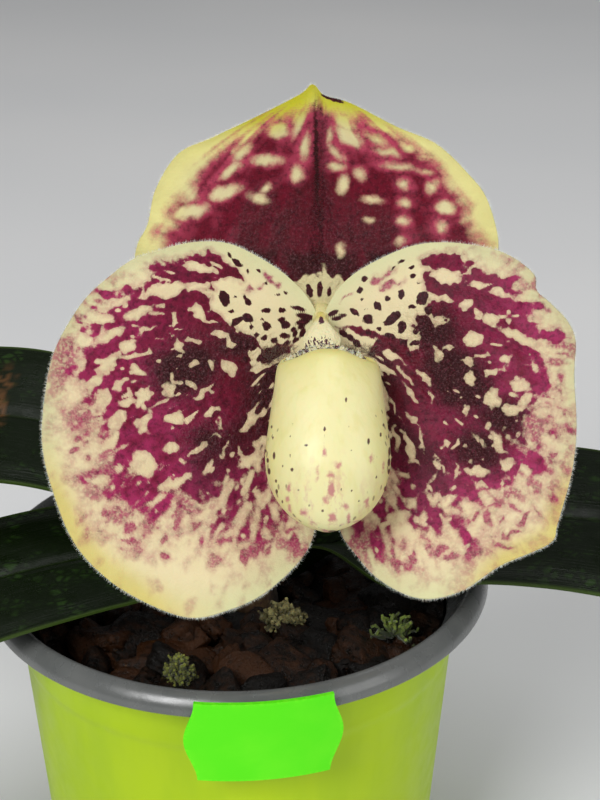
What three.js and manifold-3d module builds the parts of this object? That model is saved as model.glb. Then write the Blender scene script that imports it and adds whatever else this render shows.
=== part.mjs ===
// A slipper orchid (Paphiopedilum of the bellatulum kind) in flower, standing in its nursery pot.
// Millimetres, +Z up. The origin is the centre of the pot's underside. The flower faces -Y.
//
// The pot is formed from a two-layer plastic sheet: lime outside, grey inside. The grey layer rolls
// over at the top and makes the rim. Pine bark fills the pot. A short rootstock stands in a hole in
// the bark and carries four leaves and one short scape, whose ovary holds the flower.
import * as THREE from "three";
import { mergeVertices } from "three/addons/utils/BufferGeometryUtils.js";
import Module from "manifold-3d";

const wasm = await Module();
wasm.setup();

// ---------------------------------------------------------------- driving dimensions
const RIM_RADIUS = 45;
const POT_HEIGHT = 80;
const BASE_RADIUS = 34;
const WALL_SLOPE = 0.074; // how much the wall widens for each millimetre of height
const WALL_TOP_Z = 75.4;
const STEP_Z = 66; // stacking step, a little below the rim
const STEP_OUT = 0.45;
const FLARE = 1.4; // how far the wall turns out just under the rim
const RIM_DEPTH = 3.7; // from the rim's top to its outer edge
const LAYER = 0.8; // thickness of each plastic layer
const LAYER_GAP = 0.3;
const POT_SIDES = 40;
const DRAIN_HOLES = 6;
const DRAIN_RADIUS = 3.2;
const DRAIN_CIRCLE = 22;

const BARK_Z = 67; // top of the packed bark, under the loose chips
const BARK_GAP = 0.4;
const CROWN = new THREE.Vector3(3, 6, 0); // where the plant stands in the pot
const CROWN_TOP_Z = 84;
const CROWN_BOTTOM_Z = 50;

const FLOWER_AT = new THREE.Vector3(13.4, -22.2, 132.9); // where petals and lip meet
const FLOWER_TILT = 21; // degrees that the flower looks up
const FLOWER_TURN = -3.4; // degrees that it is turned about +Z
const PETAL_THICKNESS = 0.9;
const LEAF_THICKNESS = 1.3;
const LEAF_FOLD = 58; // degrees that each half lifts where the leaf clasps the crown
const LEAF_KEEL = 3; // and further out

// ---------------------------------------------------------------- colours
const finish = (color, roughness) =>
  new THREE.MeshStandardMaterial({ color, roughness, metalness: 0 });
const LIME = finish(0xa6c81e, 0.4);
const GREY = finish(0x7d7f85, 0.45);
const LABEL_GREEN = finish(0x5dfb12, 0.7);
const BARK_BROWN = finish(0x3c2013, 0.9);
const MOSS_GREEN = finish(0x7d8a3a, 0.9);
const ROOT_BROWN = finish(0x6e5335, 0.9);
const LEAF_GREEN = finish(0x1f3a12, 0.4);
const SCAPE_PURPLE = finish(0x6a3c45, 0.8);
const PETAL_PURPLE = finish(0x9c4a6c, 0.8);
const SEPAL_PURPLE = finish(0x83305a, 0.8);
const LIP_CREAM = finish(0xece3a2, 0.55);

// ---------------------------------------------------------------- helpers
const radians = THREE.MathUtils.degToRad;
const { lerp } = THREE.MathUtils;
const smooth = (x, a, b) => THREE.MathUtils.smoothstep(x, a, b);

/** A seeded random number from 0 to 1, the same on each run. */
function randomFrom(seed) {
  let state = seed;
  return () => {
    state = (state * 1664525 + 1013904223) % 4294967296;
    return state / 4294967296;
  };
}

/** The closed solid inside a geometry, with its shared vertices merged. */
function solidOf(geometry) {
  const bare = new THREE.BufferGeometry();
  bare.setAttribute("position", geometry.getAttribute("position"));
  bare.setIndex(geometry.index);
  const merged = mergeVertices(bare, 1e-4);
  const index = merged.index.array;
  const corners = [];
  for (let i = 0; i < index.length; i += 3) {
    const [a, b, c] = index.slice(i, i + 3);
    if (a !== b && b !== c && c !== a) corners.push(a, b, c);
  }
  return new wasm.Manifold(
    new wasm.Mesh({
      numProp: 3,
      vertProperties: new Float32Array(merged.attributes.position.array),
      triVerts: new Uint32Array(corners),
    }),
  );
}

/** The geometry of a solid. */
function geometryOf(solid) {
  const { numProp, vertProperties, triVerts, numVert } = solid.getMesh();
  const positions = new Float32Array(numVert * 3);
  for (let i = 0; i < numVert; i += 1)
    positions.set(vertProperties.subarray(i * numProp, i * numProp + 3), i * 3);
  const geometry = new THREE.BufferGeometry();
  geometry.setAttribute("position", new THREE.BufferAttribute(positions, 3));
  geometry.setIndex(new THREE.BufferAttribute(triVerts, 1));
  geometry.computeVertexNormals();
  return geometry;
}

/** One body joined from several solids. */
const joined = (solids) => solids.reduce((all, one) => all.add(one));

function piece(name, geometry, material) {
  const mesh = new THREE.Mesh(geometry, material);
  mesh.name = name;
  return mesh;
}

/** A ring turned about +Z from a closed profile of [radius, z] points, listed anticlockwise. */
function turned(profile, sides = POT_SIDES) {
  const points = [...profile, profile[0]].map(([r, z]) => new THREE.Vector2(r, z));
  const lathe = new THREE.LatheGeometry(points, sides);
  lathe.rotateX(Math.PI / 2);
  return solidOf(lathe);
}

/** The smooth closed curve through 2-D points. */
function outlineOf(points) {
  const curve = new THREE.SplineCurve([...points, points[0]].map(([x, y]) => new THREE.Vector2(x, y)));
  curve.arcLengthDivisions = 600;
  return curve;
}

/** Where a point of the square from -1 to 1 falls on a round blade: how far out and how far round. */
function squareToRound(a, b) {
  const out = Math.max(Math.abs(a), Math.abs(b));
  if (out < 1e-9) return [0, 0];
  const [p, q] = [a / out, b / out];
  if (p > 1 - 1e-9) return [out, (1 + q) / 8];
  if (q > 1 - 1e-9) return [out, (3 - p) / 8];
  if (p < 1e-9 - 1) return [out, (5 - q) / 8];
  return [out, ((7 + p) / 8) % 1];
}

/**
 * A thin closed blade. surface(u, v) gives its middle surface, u along it and v across, each from 0
 * to 1. Each cell is split towards the blade's middle, alike on both faces, so that a waved blade
 * stays clear of itself.
 */
function blade(surface, uSteps, vSteps, thickness) {
  const positions = [];
  const at = (i, j) => surface(i / uSteps, j / vSteps);
  for (const side of [1, -1])
    for (let i = 0; i <= uSteps; i += 1)
      for (let j = 0; j <= vSteps; j += 1) {
        const alongU = at(Math.min(i + 1, uSteps), j).sub(at(Math.max(i - 1, 0), j));
        const alongV = at(i, Math.min(j + 1, vSteps)).sub(at(i, Math.max(j - 1, 0)));
        const normal = alongU.cross(alongV).normalize();
        positions.push(...at(i, j).addScaledVector(normal, (side * thickness) / 2));
      }
  const sheet = (uSteps + 1) * (vSteps + 1);
  const front = (i, j) => i * (vSteps + 1) + j;
  const back = (i, j) => sheet + front(i, j);
  const index = [];
  const close = (a, b, c, d) => index.push(a, b, c, a, c, d);
  for (let i = 0; i < uSteps; i += 1)
    for (let j = 0; j < vSteps; j += 1) {
      const corners = [[i, j], [i + 1, j], [i + 1, j + 1], [i, j + 1]];
      const outwards = (2 * i + 1 - uSteps) * (2 * j + 1 - vSteps) >= 0;
      if (!outwards) corners.push(corners.shift());
      const [a, b, c, d] = corners;
      close(front(...a), front(...b), front(...c), front(...d));
      index.push(back(...a), back(...c), back(...b), back(...a), back(...d), back(...c));
    }
  for (let j = 0; j < vSteps; j += 1) {
    close(front(0, j), front(0, j + 1), back(0, j + 1), back(0, j));
    close(front(uSteps, j + 1), front(uSteps, j), back(uSteps, j), back(uSteps, j + 1));
  }
  for (let i = 0; i < uSteps; i += 1) {
    close(front(i + 1, 0), front(i, 0), back(i, 0), back(i + 1, 0));
    close(front(i, vSteps), front(i + 1, vSteps), back(i + 1, vSteps), back(i, vSteps));
  }
  const geometry = new THREE.BufferGeometry();
  geometry.setAttribute("position", new THREE.Float32BufferAttribute(positions, 3));
  geometry.setIndex(index);
  return geometry;
}

/** A closed skin over rings of points, each ring listed anticlockwise round the way the rings go. */
function skin(rings) {
  const count = rings[0].length;
  const positions = rings.flat().flatMap((p) => [p.x, p.y, p.z]);
  const index = [];
  for (let i = 0; i + 1 < rings.length; i += 1)
    for (let j = 0; j < count; j += 1) {
      const a = i * count + j;
      const b = i * count + ((j + 1) % count);
      index.push(a, b, b + count, a, b + count, a + count);
    }
  const last = (rings.length - 1) * count;
  for (let j = 1; j + 1 < count; j += 1) {
    index.push(0, j + 1, j);
    index.push(last, last + j, last + j + 1);
  }
  const geometry = new THREE.BufferGeometry();
  geometry.setAttribute("position", new THREE.Float32BufferAttribute(positions, 3));
  geometry.setIndex(index);
  return geometry;
}

/** A round bar along a curve; radiusAt(t) gives its radius and ribsAt(angle) scales it. */
function bar(curve, steps, sides, radiusAt, ribsAt = () => 1) {
  const { normals, binormals } = curve.computeFrenetFrames(steps, false);
  const rings = [];
  for (let i = 0; i <= steps; i += 1) {
    const centre = curve.getPointAt(i / steps);
    const ring = [];
    for (let j = 0; j < sides; j += 1) {
      const angle = (2 * Math.PI * j) / sides;
      const reach = radiusAt(i / steps) * ribsAt(angle);
      ring.push(
        centre
          .clone()
          .addScaledVector(normals[i], reach * Math.cos(angle))
          .addScaledVector(binormals[i], reach * Math.sin(angle)),
      );
    }
    rings.push(ring);
  }
  return skin(rings);
}

const curveThrough = (points) =>
  new THREE.CatmullRomCurve3(points.map(([x, y, z]) => new THREE.Vector3(x, y, z)));

// ---------------------------------------------------------------- the pot
/** Outside radius of the pot's wall at height z. */
function wallRadius(z) {
  const step = STEP_OUT * smooth(z, STEP_Z - 0.6, STEP_Z + 0.6);
  const flare = FLARE * smooth(z, WALL_TOP_Z - 2.6, WALL_TOP_Z);
  return BASE_RADIUS + WALL_SLOPE * z + step + flare;
}

/** Plain round holes through the pot's floor. */
function drainHoles() {
  const holes = [];
  for (let i = 0; i < DRAIN_HOLES; i += 1) {
    const angle = (2 * Math.PI * (i + 0.5)) / DRAIN_HOLES;
    const hole = new THREE.CylinderGeometry(DRAIN_RADIUS, DRAIN_RADIUS, 20, 12);
    hole.rotateX(Math.PI / 2);
    hole.translate(DRAIN_CIRCLE * Math.cos(angle), DRAIN_CIRCLE * Math.sin(angle), 2);
    holes.push(solidOf(hole));
  }
  return joined(holes);
}

const RECESS = { inner: 14, outer: 30, height: 1.6 }; // ring under the floor, which drains
const WALL_HEIGHTS = [2.4, STEP_Z - 0.8, STEP_Z + 0.8, WALL_TOP_Z - 2.6, WALL_TOP_Z];

/** The lime layer: wall, foot and floor. */
function limeLayer() {
  const { inner, outer, height } = RECESS;
  const floor = height + LAYER;
  const outside = WALL_HEIGHTS.map((z) => [wallRadius(z), z]);
  const inside = WALL_HEIGHTS.map((z) => [wallRadius(z) - LAYER, z]);
  return turned([
    [0, 0],
    [inner - 1, 0],
    [inner, height],
    [outer - 1, height],
    [outer, 0],
    [BASE_RADIUS - 1, 0],
    ...outside,
    ...inside.reverse(),
    [BASE_RADIUS - 1.6, floor],
    [0, floor],
  ]).subtract(drainHoles());
}

/** The grey layer: lining, floor and the rolled rim that caps the lime wall. */
function greyLayer() {
  const set = LAYER + LAYER_GAP;
  const floor = RECESS.height + set;
  const heights = WALL_HEIGHTS.slice(1);
  const outside = heights.map((z) => [wallRadius(z) - set, z]);
  const inside = heights.map((z) => [wallRadius(z) - set - LAYER, z]);
  const under = POT_HEIGHT - RIM_DEPTH;
  const roll = [
    [wallRadius(WALL_TOP_Z) + 0.3, under],
    [RIM_RADIUS - 0.3, under],
    [RIM_RADIUS, under + 0.4],
    [RIM_RADIUS - 0.25, under + 1.7],
    [RIM_RADIUS - 1.1, under + 2.9],
    [RIM_RADIUS - 2.3, POT_HEIGHT],
    [RIM_RADIUS - 3.2, POT_HEIGHT - 0.4],
    [RIM_RADIUS - 3.9, under + 2],
  ];
  return turned([
    [0, floor],
    [BASE_RADIUS - 1.6 - LAYER_GAP, floor],
    [wallRadius(floor + 1) - set, floor + 1],
    ...outside,
    [wallRadius(WALL_TOP_Z) - set, under],
    ...roll,
    ...inside.reverse(),
    [wallRadius(floor + 2) - set - LAYER, floor + 2],
    [BASE_RADIUS - 3, floor + LAYER],
    [0, floor + LAYER],
  ]).subtract(drainHoles());
}

// The label stands off the wall: stuck to the rim, it hangs straight down from there.
const LABEL = { corner: 10.8, wave: 1.9, height: 15.6, top: 80, turn: 4.7, lean: 1.5, thickness: 0.6 };

/** A blank price label with waved ends, stuck on the outside of the rim. */
function priceLabel() {
  const surface = (u, v) => {
    const half = LABEL.corner + LABEL.wave * Math.sin(Math.PI * u) ** 2;
    const radius = RIM_RADIUS + 0.6 + LABEL.thickness / 2 - LABEL.lean * u;
    const angle = radians(LABEL.turn - 90) + ((2 * v - 1) * half) / RIM_RADIUS;
    const height = LABEL.top - LABEL.height * u;
    return new THREE.Vector3(radius * Math.cos(angle), radius * Math.sin(angle), height);
  };
  return blade(surface, 8, 6, LABEL.thickness);
}

// ---------------------------------------------------------------- bark and moss
/** The space inside the pot that bark may fill. */
function potInside() {
  const set = 2 * LAYER + LAYER_GAP + BARK_GAP;
  const floor = RECESS.height + set + 0.4;
  const clear = wallRadius(BARK_Z) - set - STEP_OUT;
  return turned([
    [0, floor],
    [BASE_RADIUS - 4, floor],
    [wallRadius(floor + 6) - set, floor + 6],
    [clear, STEP_Z - 3],
    [clear, POT_HEIGHT + 2],
    [0, POT_HEIGHT + 2],
  ]);
}

/** One chunky chip of bark about size millimetres long: a block with its corners worn round. */
function chip(size, random) {
  const block = new THREE.BoxGeometry(1, 1, 1, 2, 2, 1);
  block.deleteAttribute("uv");
  block.deleteAttribute("normal");
  const merged = mergeVertices(block);
  const place = merged.attributes.position;
  const point = new THREE.Vector3();
  for (let i = 0; i < place.count; i += 1) {
    point.fromBufferAttribute(place, i);
    point.multiplyScalar(lerp(1, 0.56 / point.length(), 0.62) * (0.9 + 0.2 * random()));
    place.setXYZ(i, point.x, point.y, point.z);
  }
  merged.scale(size, size * (0.6 + 0.2 * random()), size * (0.42 + 0.16 * random()));
  merged.rotateX((random() - 0.5) * 1.2);
  merged.rotateY((random() - 0.5) * 1.0);
  merged.rotateZ(random() * 2 * Math.PI);
  return merged;
}

const BARE_RADIUS = 13; // round the crown the loose chips leave the leaf bases free
const CHIP_RINGS = [
  { radius: 13, chips: 7 },
  { radius: 23, chips: 10 },
  { radius: 33, chips: 15 },
];

/** Packed bark with loose chips over its top, cut clear of the rootstock and the moss. */
function barkBed(rootHole, mossSeats) {
  const random = randomFrom(11);
  const chips = [];
  for (const ring of CHIP_RINGS)
    for (let i = 0; i < ring.chips; i += 1) {
      const angle = (2 * Math.PI * (i + 0.6 * random())) / ring.chips;
      const reach = ring.radius + 4 * (random() - 0.5);
      const one = chip(12.5 + 5 * random(), random);
      const rise = BARK_Z + 2 + 1.8 * random();
      const at = new THREE.Vector3(reach * Math.cos(angle), reach * Math.sin(angle), rise);
      one.translate(at.x, at.y, at.z);
      if (at.setZ(0).distanceTo(CROWN) > BARE_RADIUS) chips.push(solidOf(one));
    }
  const packed = turned([
    [0, 0],
    [RIM_RADIUS, 0],
    [RIM_RADIUS, BARK_Z],
    [0, BARK_Z],
  ]);
  return joined([packed, ...chips]).intersect(potInside()).subtract(rootHole).subtract(mossSeats);
}

/** A tuft of moss: a low core with short curled strands standing out of it. */
function mossTuft(seed, size, strands) {
  const random = randomFrom(seed);
  const core = new THREE.IcosahedronGeometry(size * 0.56, 0);
  core.scale(1, 0.85, 0.66);
  const grown = [solidOf(core)];
  for (let i = 0; i < strands; i += 1) {
    const turn = (2 * Math.PI * (i + random() * 0.6)) / strands;
    const rise = 0.2 + 1.0 * random();
    const out = new THREE.Vector3(
      Math.cos(turn) * Math.cos(rise),
      Math.sin(turn) * Math.cos(rise),
      Math.sin(rise),
    );
    const tip = out.clone().multiplyScalar(size * (0.72 + 0.26 * random()));
    const bend = tip.clone().multiplyScalar(0.66);
    bend.z += size * 0.2;
    const curve = new THREE.CatmullRomCurve3([out.multiplyScalar(size * 0.1), bend, tip]);
    grown.push(solidOf(bar(curve, 2, 3, (t) => size * lerp(0.16, 0.08, t))));
  }
  return joined(grown);
}

// ---------------------------------------------------------------- rootstock, leaves and scape
/** The short rootstock that the leaves and the scape spring from, spread by fatten for its hole. */
const rootstock = (fatten = 0) =>
  bar(
    curveThrough([
      [CROWN.x - 1, CROWN.y, CROWN_BOTTOM_Z - fatten],
      [CROWN.x - 0.5, CROWN.y, BARK_Z],
      [CROWN.x, CROWN.y, CROWN_TOP_Z],
    ]),
    4,
    12,
    (t) => 3.4 + 2.2 * Math.sin(Math.PI * Math.min(1, 0.25 + t)) + fatten,
  );

// Each leaf: its midrib's points from the crown outwards, the way that its width runs, its widest
// half-width and how steeply it is folded where it clasps the crown.
const LEAVES = {
  leaf_left_lower: {
    midrib: [[-2.8, 3.7, 72.5], [-14, -3, 82.5], [-36.6, -14.4, 85.3], [-70, -31, 81], [-100, -44, 66]],
    across: [0.42, -0.9, -0.1],
    half: 16,
  },
  leaf_left_upper: {
    midrib: [[-5, 10.4, 79], [-14, 13, 91], [-38.9, 14.6, 101], [-75, 17, 98.5], [-108, 19, 86]],
    across: [0.06, -0.97, -0.24],
    half: 19.5,
  },
  leaf_right: {
    midrib: [[9.85, 3.4, 73], [21, 3.6, 80.5], [44, -1.5, 87.6], [78, -10.5, 87.5], [114, -19, 75]],
    across: [-0.2, -0.96, -0.16],
    half: 20.3,
  },
  leaf_right_back: {
    midrib: [[6.4, 11, 81], [17, 24, 96], [37, 38, 100], [52, 52, 98.5], [62, 62, 92]],
    across: [0.7, -0.7, -0.14],
    half: 13.5,
  },
};

/** Half-width of a leaf at t along its midrib, as a share of the widest: a strap with a blunt tip. */
const leafWidth = (t) =>
  lerp(0.36, 1, smooth(t, 0, 0.26)) * Math.sqrt(1.002 - Math.max(0, 2 * t - 1) ** 2.6);

/** A strap-shaped leathery leaf, folded at its base and opening to a shallow keel. */
function leaf({ midrib, across, half }) {
  const curve = curveThrough(midrib);
  const aim = new THREE.Vector3(...across);
  const surface = (u, v) => {
    const centre = curve.getPointAt(u);
    const along = curve.getTangentAt(u);
    const side = aim.clone().addScaledVector(along, -aim.dot(along)).normalize();
    const up = side.clone().cross(along).normalize();
    if (up.z < 0) up.negate();
    const reach = 2 * v - 1;
    const lift = radians(lerp(LEAF_FOLD, LEAF_KEEL, smooth(u, 0, 0.2)));
    const width = half * leafWidth(u) * Math.abs(reach);
    const droop = 0.09 * width * reach * reach * smooth(u, 0.3, 0.8);
    return centre
      .addScaledVector(side, Math.sign(reach) * width * Math.cos(lift))
      .addScaledVector(up, width * Math.sin(lift) - droop);
  };
  return blade(surface, 14, 6, LEAF_THICKNESS);
}

const SCAPE = [
  [CROWN.x, CROWN.y, CROWN_TOP_Z + 0.4],
  [CROWN.x + 0.2, CROWN.y, CROWN_TOP_Z + 3],
  [CROWN.x + 3, CROWN.y + 2.5, 95],
  [CROWN.x + 8, CROWN.y + 4, 107],
  [CROWN.x + 10, CROWN.y + 2.6, 113.6],
];
const OVARY = [
  [CROWN.x + 10.3, CROWN.y + 2.2, 114.2],
  [CROWN.x + 11.4, CROWN.y - 2.4, 122],
  [CROWN.x + 11.2, CROWN.y - 12, 128],
  [13.7, -16.6, 130.6],
];

const scape = () => bar(curveThrough(SCAPE), 10, 10, (t) => lerp(2.7, 2.1, t));

/** The ovary, three-ribbed, slimmer at both ends. */
const ovary = () =>
  bar(
    curveThrough(OVARY),
    12,
    12,
    (t) => 2 + 1 * Math.sin(Math.PI * Math.min(1, t * 1.05)) + 0.2 * t,
    (angle) => 1 + 0.07 * Math.cos(3 * angle),
  );

/** The bract that clasps the foot of the ovary. */
function bract() {
  const foot = new THREE.Vector3(...OVARY[0]);
  const surface = (u, v) => {
    const wrap = radians(lerp(118, 30, smooth(u, 0.1, 1))) * (2 * v - 1);
    const radius = 3.35 + 1.9 * Math.sin(u * 2.2);
    const turn = wrap + radians(80);
    const z = 17 * u - 2.2 * u * u;
    const onScape = 1 - smooth(u, 0, 0.3);
    return new THREE.Vector3(
      foot.x - 0.8 * onScape + radius * Math.cos(turn) * lerp(1, 0.92, u),
      foot.y + 0.2 + 0.8 * onScape + radius * Math.sin(turn) + 1.2 * u - 4.5 * u * u,
      foot.z - 3.2 + z,
    );
  };
  return blade(surface, 8, 8, 0.7);
}

// ---------------------------------------------------------------- the flower
// Flower pieces are drawn in the flower's own frame: +x right, +y up and +z towards who looks at it.
// An outline runs clockwise round the margin from the claw and back to it, [x, y].
const PETAL_LEFT = [
  [-1.9, -0.4], [-1.7, 1.6], [-2.5, 3.6], [-4.5, 6.2], [-8, 9.4], [-14.2, 12.4], [-20.2, 12.5],
  [-26.3, 10.7], [-29.2, 9.5], [-32.7, 6.7], [-35.5, 3.9], [-38, 0], [-39.9, -4.2],
  [-40.9, -9.2], [-41.3, -17.2], [-39.8, -24.2], [-36.6, -31.9], [-31.8, -37.2], [-25.7, -41],
  [-19.1, -43.2], [-13.5, -42.3], [-8.1, -40.1], [-3.2, -36], [-0.9, -32], [-0.6, -26],
  [-0.8, -16], [-1, -7], [-1.3, -2.8],
];
const PETAL_RIGHT = [
  [1.9, -0.4], [1.7, 1.7], [2.3, 3.9], [3.9, 6.4], [7.3, 9.2], [13.8, 12.1], [20.1, 12.7],
  [27.4, 11.2], [31.9, 8], [32.5, 5.4], [34.6, 3.4], [37, 0.7], [38.1, -2.2], [38, -7.2],
  [38.4, -15.4], [37.6, -22], [35.4, -29.3], [34, -32.1], [26.9, -35.4], [20.9, -39.2],
  [15, -40.4], [9.2, -38.3], [5.1, -34.4], [3.2, -31.4], [2.2, -26], [1.5, -16], [1.2, -7],
  [1.3, -2.8],
];
const DORSAL_SEPAL = [
  [0, 1.8], [-2.4, 1.9], [-12, 3], [-23.5, 5.4], [-28.4, 8.6], [-28.5, 12.1], [-26.9, 15.4],
  [-25.6, 20.6], [-22, 25.9], [-16.7, 28.4], [-9, 31.9], [-3.3, 34.7], [-1.4, 36.2], [0.4, 34.7],
  [4.5, 33.4], [11.4, 30.1], [17.3, 27.7], [22.2, 23.6], [25.7, 19.1], [27.4, 11.6], [24, 6.2],
  [12.5, 3.1], [2.4, 1.9],
];
const SYNSEPAL = [
  [0, -1.9], [2.3, -2.1], [8, -4.6], [12.2, -10], [12.4, -16], [9.4, -21.5], [4, -25.2],
  [0, -26.2], [-4, -25.2], [-9.4, -21.5], [-12.4, -16], [-12.2, -10], [-8, -4.6], [-2.3, -2.1],
];

/** A petal or sepal about its middle [cx, cy], out to its outline, with depth(x, y, out, round). */
function floralBlade(outline, [cx, cy], depth, steps) {
  const margin = outlineOf(outline);
  const surface = (u, v) => {
    const [out, round] = squareToRound(2 * u - 1, 2 * v - 1);
    const end = margin.getPointAt(round);
    const x = lerp(cx, end.x, out);
    const y = lerp(cy, end.y, out);
    return new THREE.Vector3(x, y, depth(x, y, out, round));
  };
  return blade(surface, steps, steps, PETAL_THICKNESS);
}

/** How strongly a margin feature shows: not at all at the claw. */
const offClaw = (x, y) => smooth(Math.hypot(x, y), 9, 23);

/** How far a petal stands forward: a bowl with a waved margin that turns back a little. */
function petalDepth(phase) {
  return (x, y, out, round) => {
    const bowl = 10.5 * (Math.hypot(x, y) / 40) ** 1.7 - 2.4;
    const lowerTip = 2 * smooth(-y, 25, 45);
    const behindLip = 1.6 * smooth(-y, 4, 26) * (1 - smooth(Math.abs(x), 4, 16));
    const rolledTop = 1.8 * smooth(y, 2, 9) * (1 - smooth(Math.abs(x), 14, 27)) * out ** 3;
    const wave = 0.7 * Math.sin(19 * round + phase) * out ** 5;
    const margin = offClaw(x, y) * (wave - 1.4 * smooth(out, 0.72, 1));
    return bowl + lowerTip - behindLip - rolledTop + margin;
  };
}

/** The hood of the dorsal sepal: creased at its midrib, with its tip and sides forward. */
function sepalDepth(x, y, out) {
  const hood = 10.5 * smooth(y, 12, 40) ** 1.4;
  const sides = 3.6 * (x / 28) ** 2;
  const crease = 1.3 * Math.exp(-((x / 2.4) ** 2)) * smooth(y, 4, 14);
  const behindPetals = 0.5 * smooth(y, 2.5, 7);
  const margin = 0.8 * smooth(out, 0.84, 1) * offClaw(x, y);
  return hood + sides - crease - behindPetals - 5 - margin;
}

const synsepalDepth = (x, y) => -4.9 + 2.2 * (x / 12) ** 2 + 1.2 * smooth(-y, 16, 27);

// The lip is a pouch. Each ring, from its mouth down to its toe, has the height of its front, the
// height of its back, half its width, and how far forward its back and its front stand.
const LIP_RINGS = [
  { front: -4.7, back: -2.2, half: 4.3, near: 0.8, far: 8.8 },
  { front: -3.7, back: -3.2, half: 5.3, near: 0.7, far: 10.4 },
  { front: -4.3, back: -4.9, half: 6.6, near: 1.3, far: 12.6 },
  { front: -6.6, back: -7, half: 7.6, near: 2.4, far: 15 },
  { front: -10.2, back: -10.2, half: 8.4, near: 3.8, far: 17.5 },
  { front: -14.8, back: -14.8, half: 8.8, near: 5, far: 19.4 },
  { front: -19.4, back: -19.4, half: 9, near: 5.8, far: 20.6 },
  { front: -23.2, back: -23.2, half: 8.3, near: 6.6, far: 20.6 },
  { front: -26.4, back: -26.2, half: 6.5, near: 7.8, far: 19.8 },
  { front: -28.7, back: -28.3, half: 4.2, near: 9.6, far: 18.2 },
  { front: -29.8, back: -29.5, half: 1.7, near: 12.2, far: 15.8 },
];
const LIP_SIDES = 18;
const LIP_WALL = 0.9;
const LIP_CENTRE_X = 1.2; // the pouch hangs a little to one side

/** A ring of the pouch's middle surface. The claw is the narrow part where its back rises. */
function lipRing({ front, back, half, near, far }) {
  const ring = [];
  for (let j = 0; j < LIP_SIDES; j += 1) {
    const angle = (2 * Math.PI * j) / LIP_SIDES;
    const forward = 0.5 + 0.5 * Math.sin(angle);
    const x = LIP_CENTRE_X + (half - LIP_WALL / 2) * Math.cos(angle);
    ring.push(new THREE.Vector3(x, lerp(front, back, (1 - forward) ** 3), lerp(near, far, forward)));
  }
  return ring;
}

/** The lip: a hollow pouch with a turned-in mouth and a short claw at its back. */
function lipPouch() {
  const middle = LIP_RINGS.map(lipRing);
  const last = middle.length - 1;
  const offset = (distance) =>
    middle.map((ring, i) =>
      ring.map((point, j) => {
        const down = middle[Math.min(i + 1, last)][j].clone().sub(middle[Math.max(i - 1, 0)][j]);
        const next = ring[(j + 1) % LIP_SIDES];
        const round = next.clone().sub(ring[(j + LIP_SIDES - 1) % LIP_SIDES]);
        return point.clone().addScaledVector(down.cross(round).normalize(), distance);
      }),
    );
  return skin([...offset(LIP_WALL / 2).reverse(), ...offset(-LIP_WALL / 2)]);
}

/** The column with its shield, the staminode, held over the mouth of the pouch. */
function columnShield() {
  const stalk = bar(
    curveThrough([[0, 0, -5.4], [0, 0, -2], [0, 0.2, 3.4]]),
    4,
    10,
    (t) => lerp(1.1, 1.35, t),
  );
  const shield = (u, v) => {
    const across = 2 * v - 1;
    const half = lerp(0.9, 2.4, smooth(u, 0, 0.85)) * (1 - 0.3 * u ** 5);
    const y = 0.9 - 3.5 * u ** 1.2 - 0.7 * across * across * u;
    return new THREE.Vector3(0.25 * u + across * half, y, 2.6 + 5.6 * u);
  };
  return solidOf(stalk).add(solidOf(blade(shield, 7, 6, 0.9)));
}

/** The whole flower in its own frame, placed and turned as one group. */
function flower() {
  const group = new THREE.Group();
  group.position.copy(FLOWER_AT);
  group.rotation.set(radians(90 - FLOWER_TILT), 0, radians(FLOWER_TURN), "ZXY");
  const left = floralBlade(PETAL_LEFT, [-19, -14], petalDepth(0), 16);
  const right = floralBlade(PETAL_RIGHT, [19, -13], petalDepth(2), 16);
  const dorsal = floralBlade(DORSAL_SEPAL, [0, 17], sepalDepth, 16);
  const under = floralBlade(SYNSEPAL, [0, -13], synsepalDepth, 10);
  group.add(
    piece("petal_left", left, PETAL_PURPLE),
    piece("petal_right", right, PETAL_PURPLE),
    piece("dorsal_sepal", dorsal, SEPAL_PURPLE),
    piece("synsepal", under, PETAL_PURPLE),
    piece("lip_pouch", lipPouch(), LIP_CREAM),
    piece("column", geometryOf(columnShield()), LIP_CREAM),
  );
  return group;
}

// ---------------------------------------------------------------- the whole plant
const plant = new THREE.Group();
plant.add(
  piece("pot_outer_layer", geometryOf(limeLayer()), LIME),
  piece("pot_inner_layer", geometryOf(greyLayer()), GREY),
  piece("price_label", priceLabel(), LABEL_GREEN),
);

// Each tuft sits in a shallow seat in the bark.
const MOSS = {
  moss_front: { at: [-10, -30, 74.5], size: 6, strands: 8, seed: 5 },
  moss_right: { at: [27, -19, 74], size: 5.5, strands: 8, seed: 8 },
  moss_middle: { at: [7.5, -14, 74], size: 5.5, strands: 8, seed: 21 },
};
const mossBodies = Object.entries(MOSS).map(([name, { at, size, strands, seed }]) => [
  name,
  mossTuft(seed, size, strands).translate(...at),
]);
const mossSeats = joined(
  Object.values(MOSS).map(({ at, size }) => {
    const seat = new THREE.CylinderGeometry(size * 1.15, size * 1.15, 20, 10);
    seat.rotateX(Math.PI / 2);
    seat.translate(at[0], at[1], at[2] + 10 - size * 0.32 - 0.3);
    return solidOf(seat);
  }),
);
const rootHole = solidOf(rootstock(0.4));
plant.add(
  piece("bark", geometryOf(barkBed(rootHole, mossSeats)), BARK_BROWN),
  piece("rootstock", rootstock(), ROOT_BROWN),
);
for (const [name, body] of mossBodies) plant.add(piece(name, geometryOf(body), MOSS_GREEN));
for (const [name, shape] of Object.entries(LEAVES)) plant.add(piece(name, leaf(shape), LEAF_GREEN));
plant.add(
  piece("scape", scape(), SCAPE_PURPLE),
  piece("ovary", ovary(), SCAPE_PURPLE),
  piece("bract", bract(), SCAPE_PURPLE),
  flower(),
);

export default plant;
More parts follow.
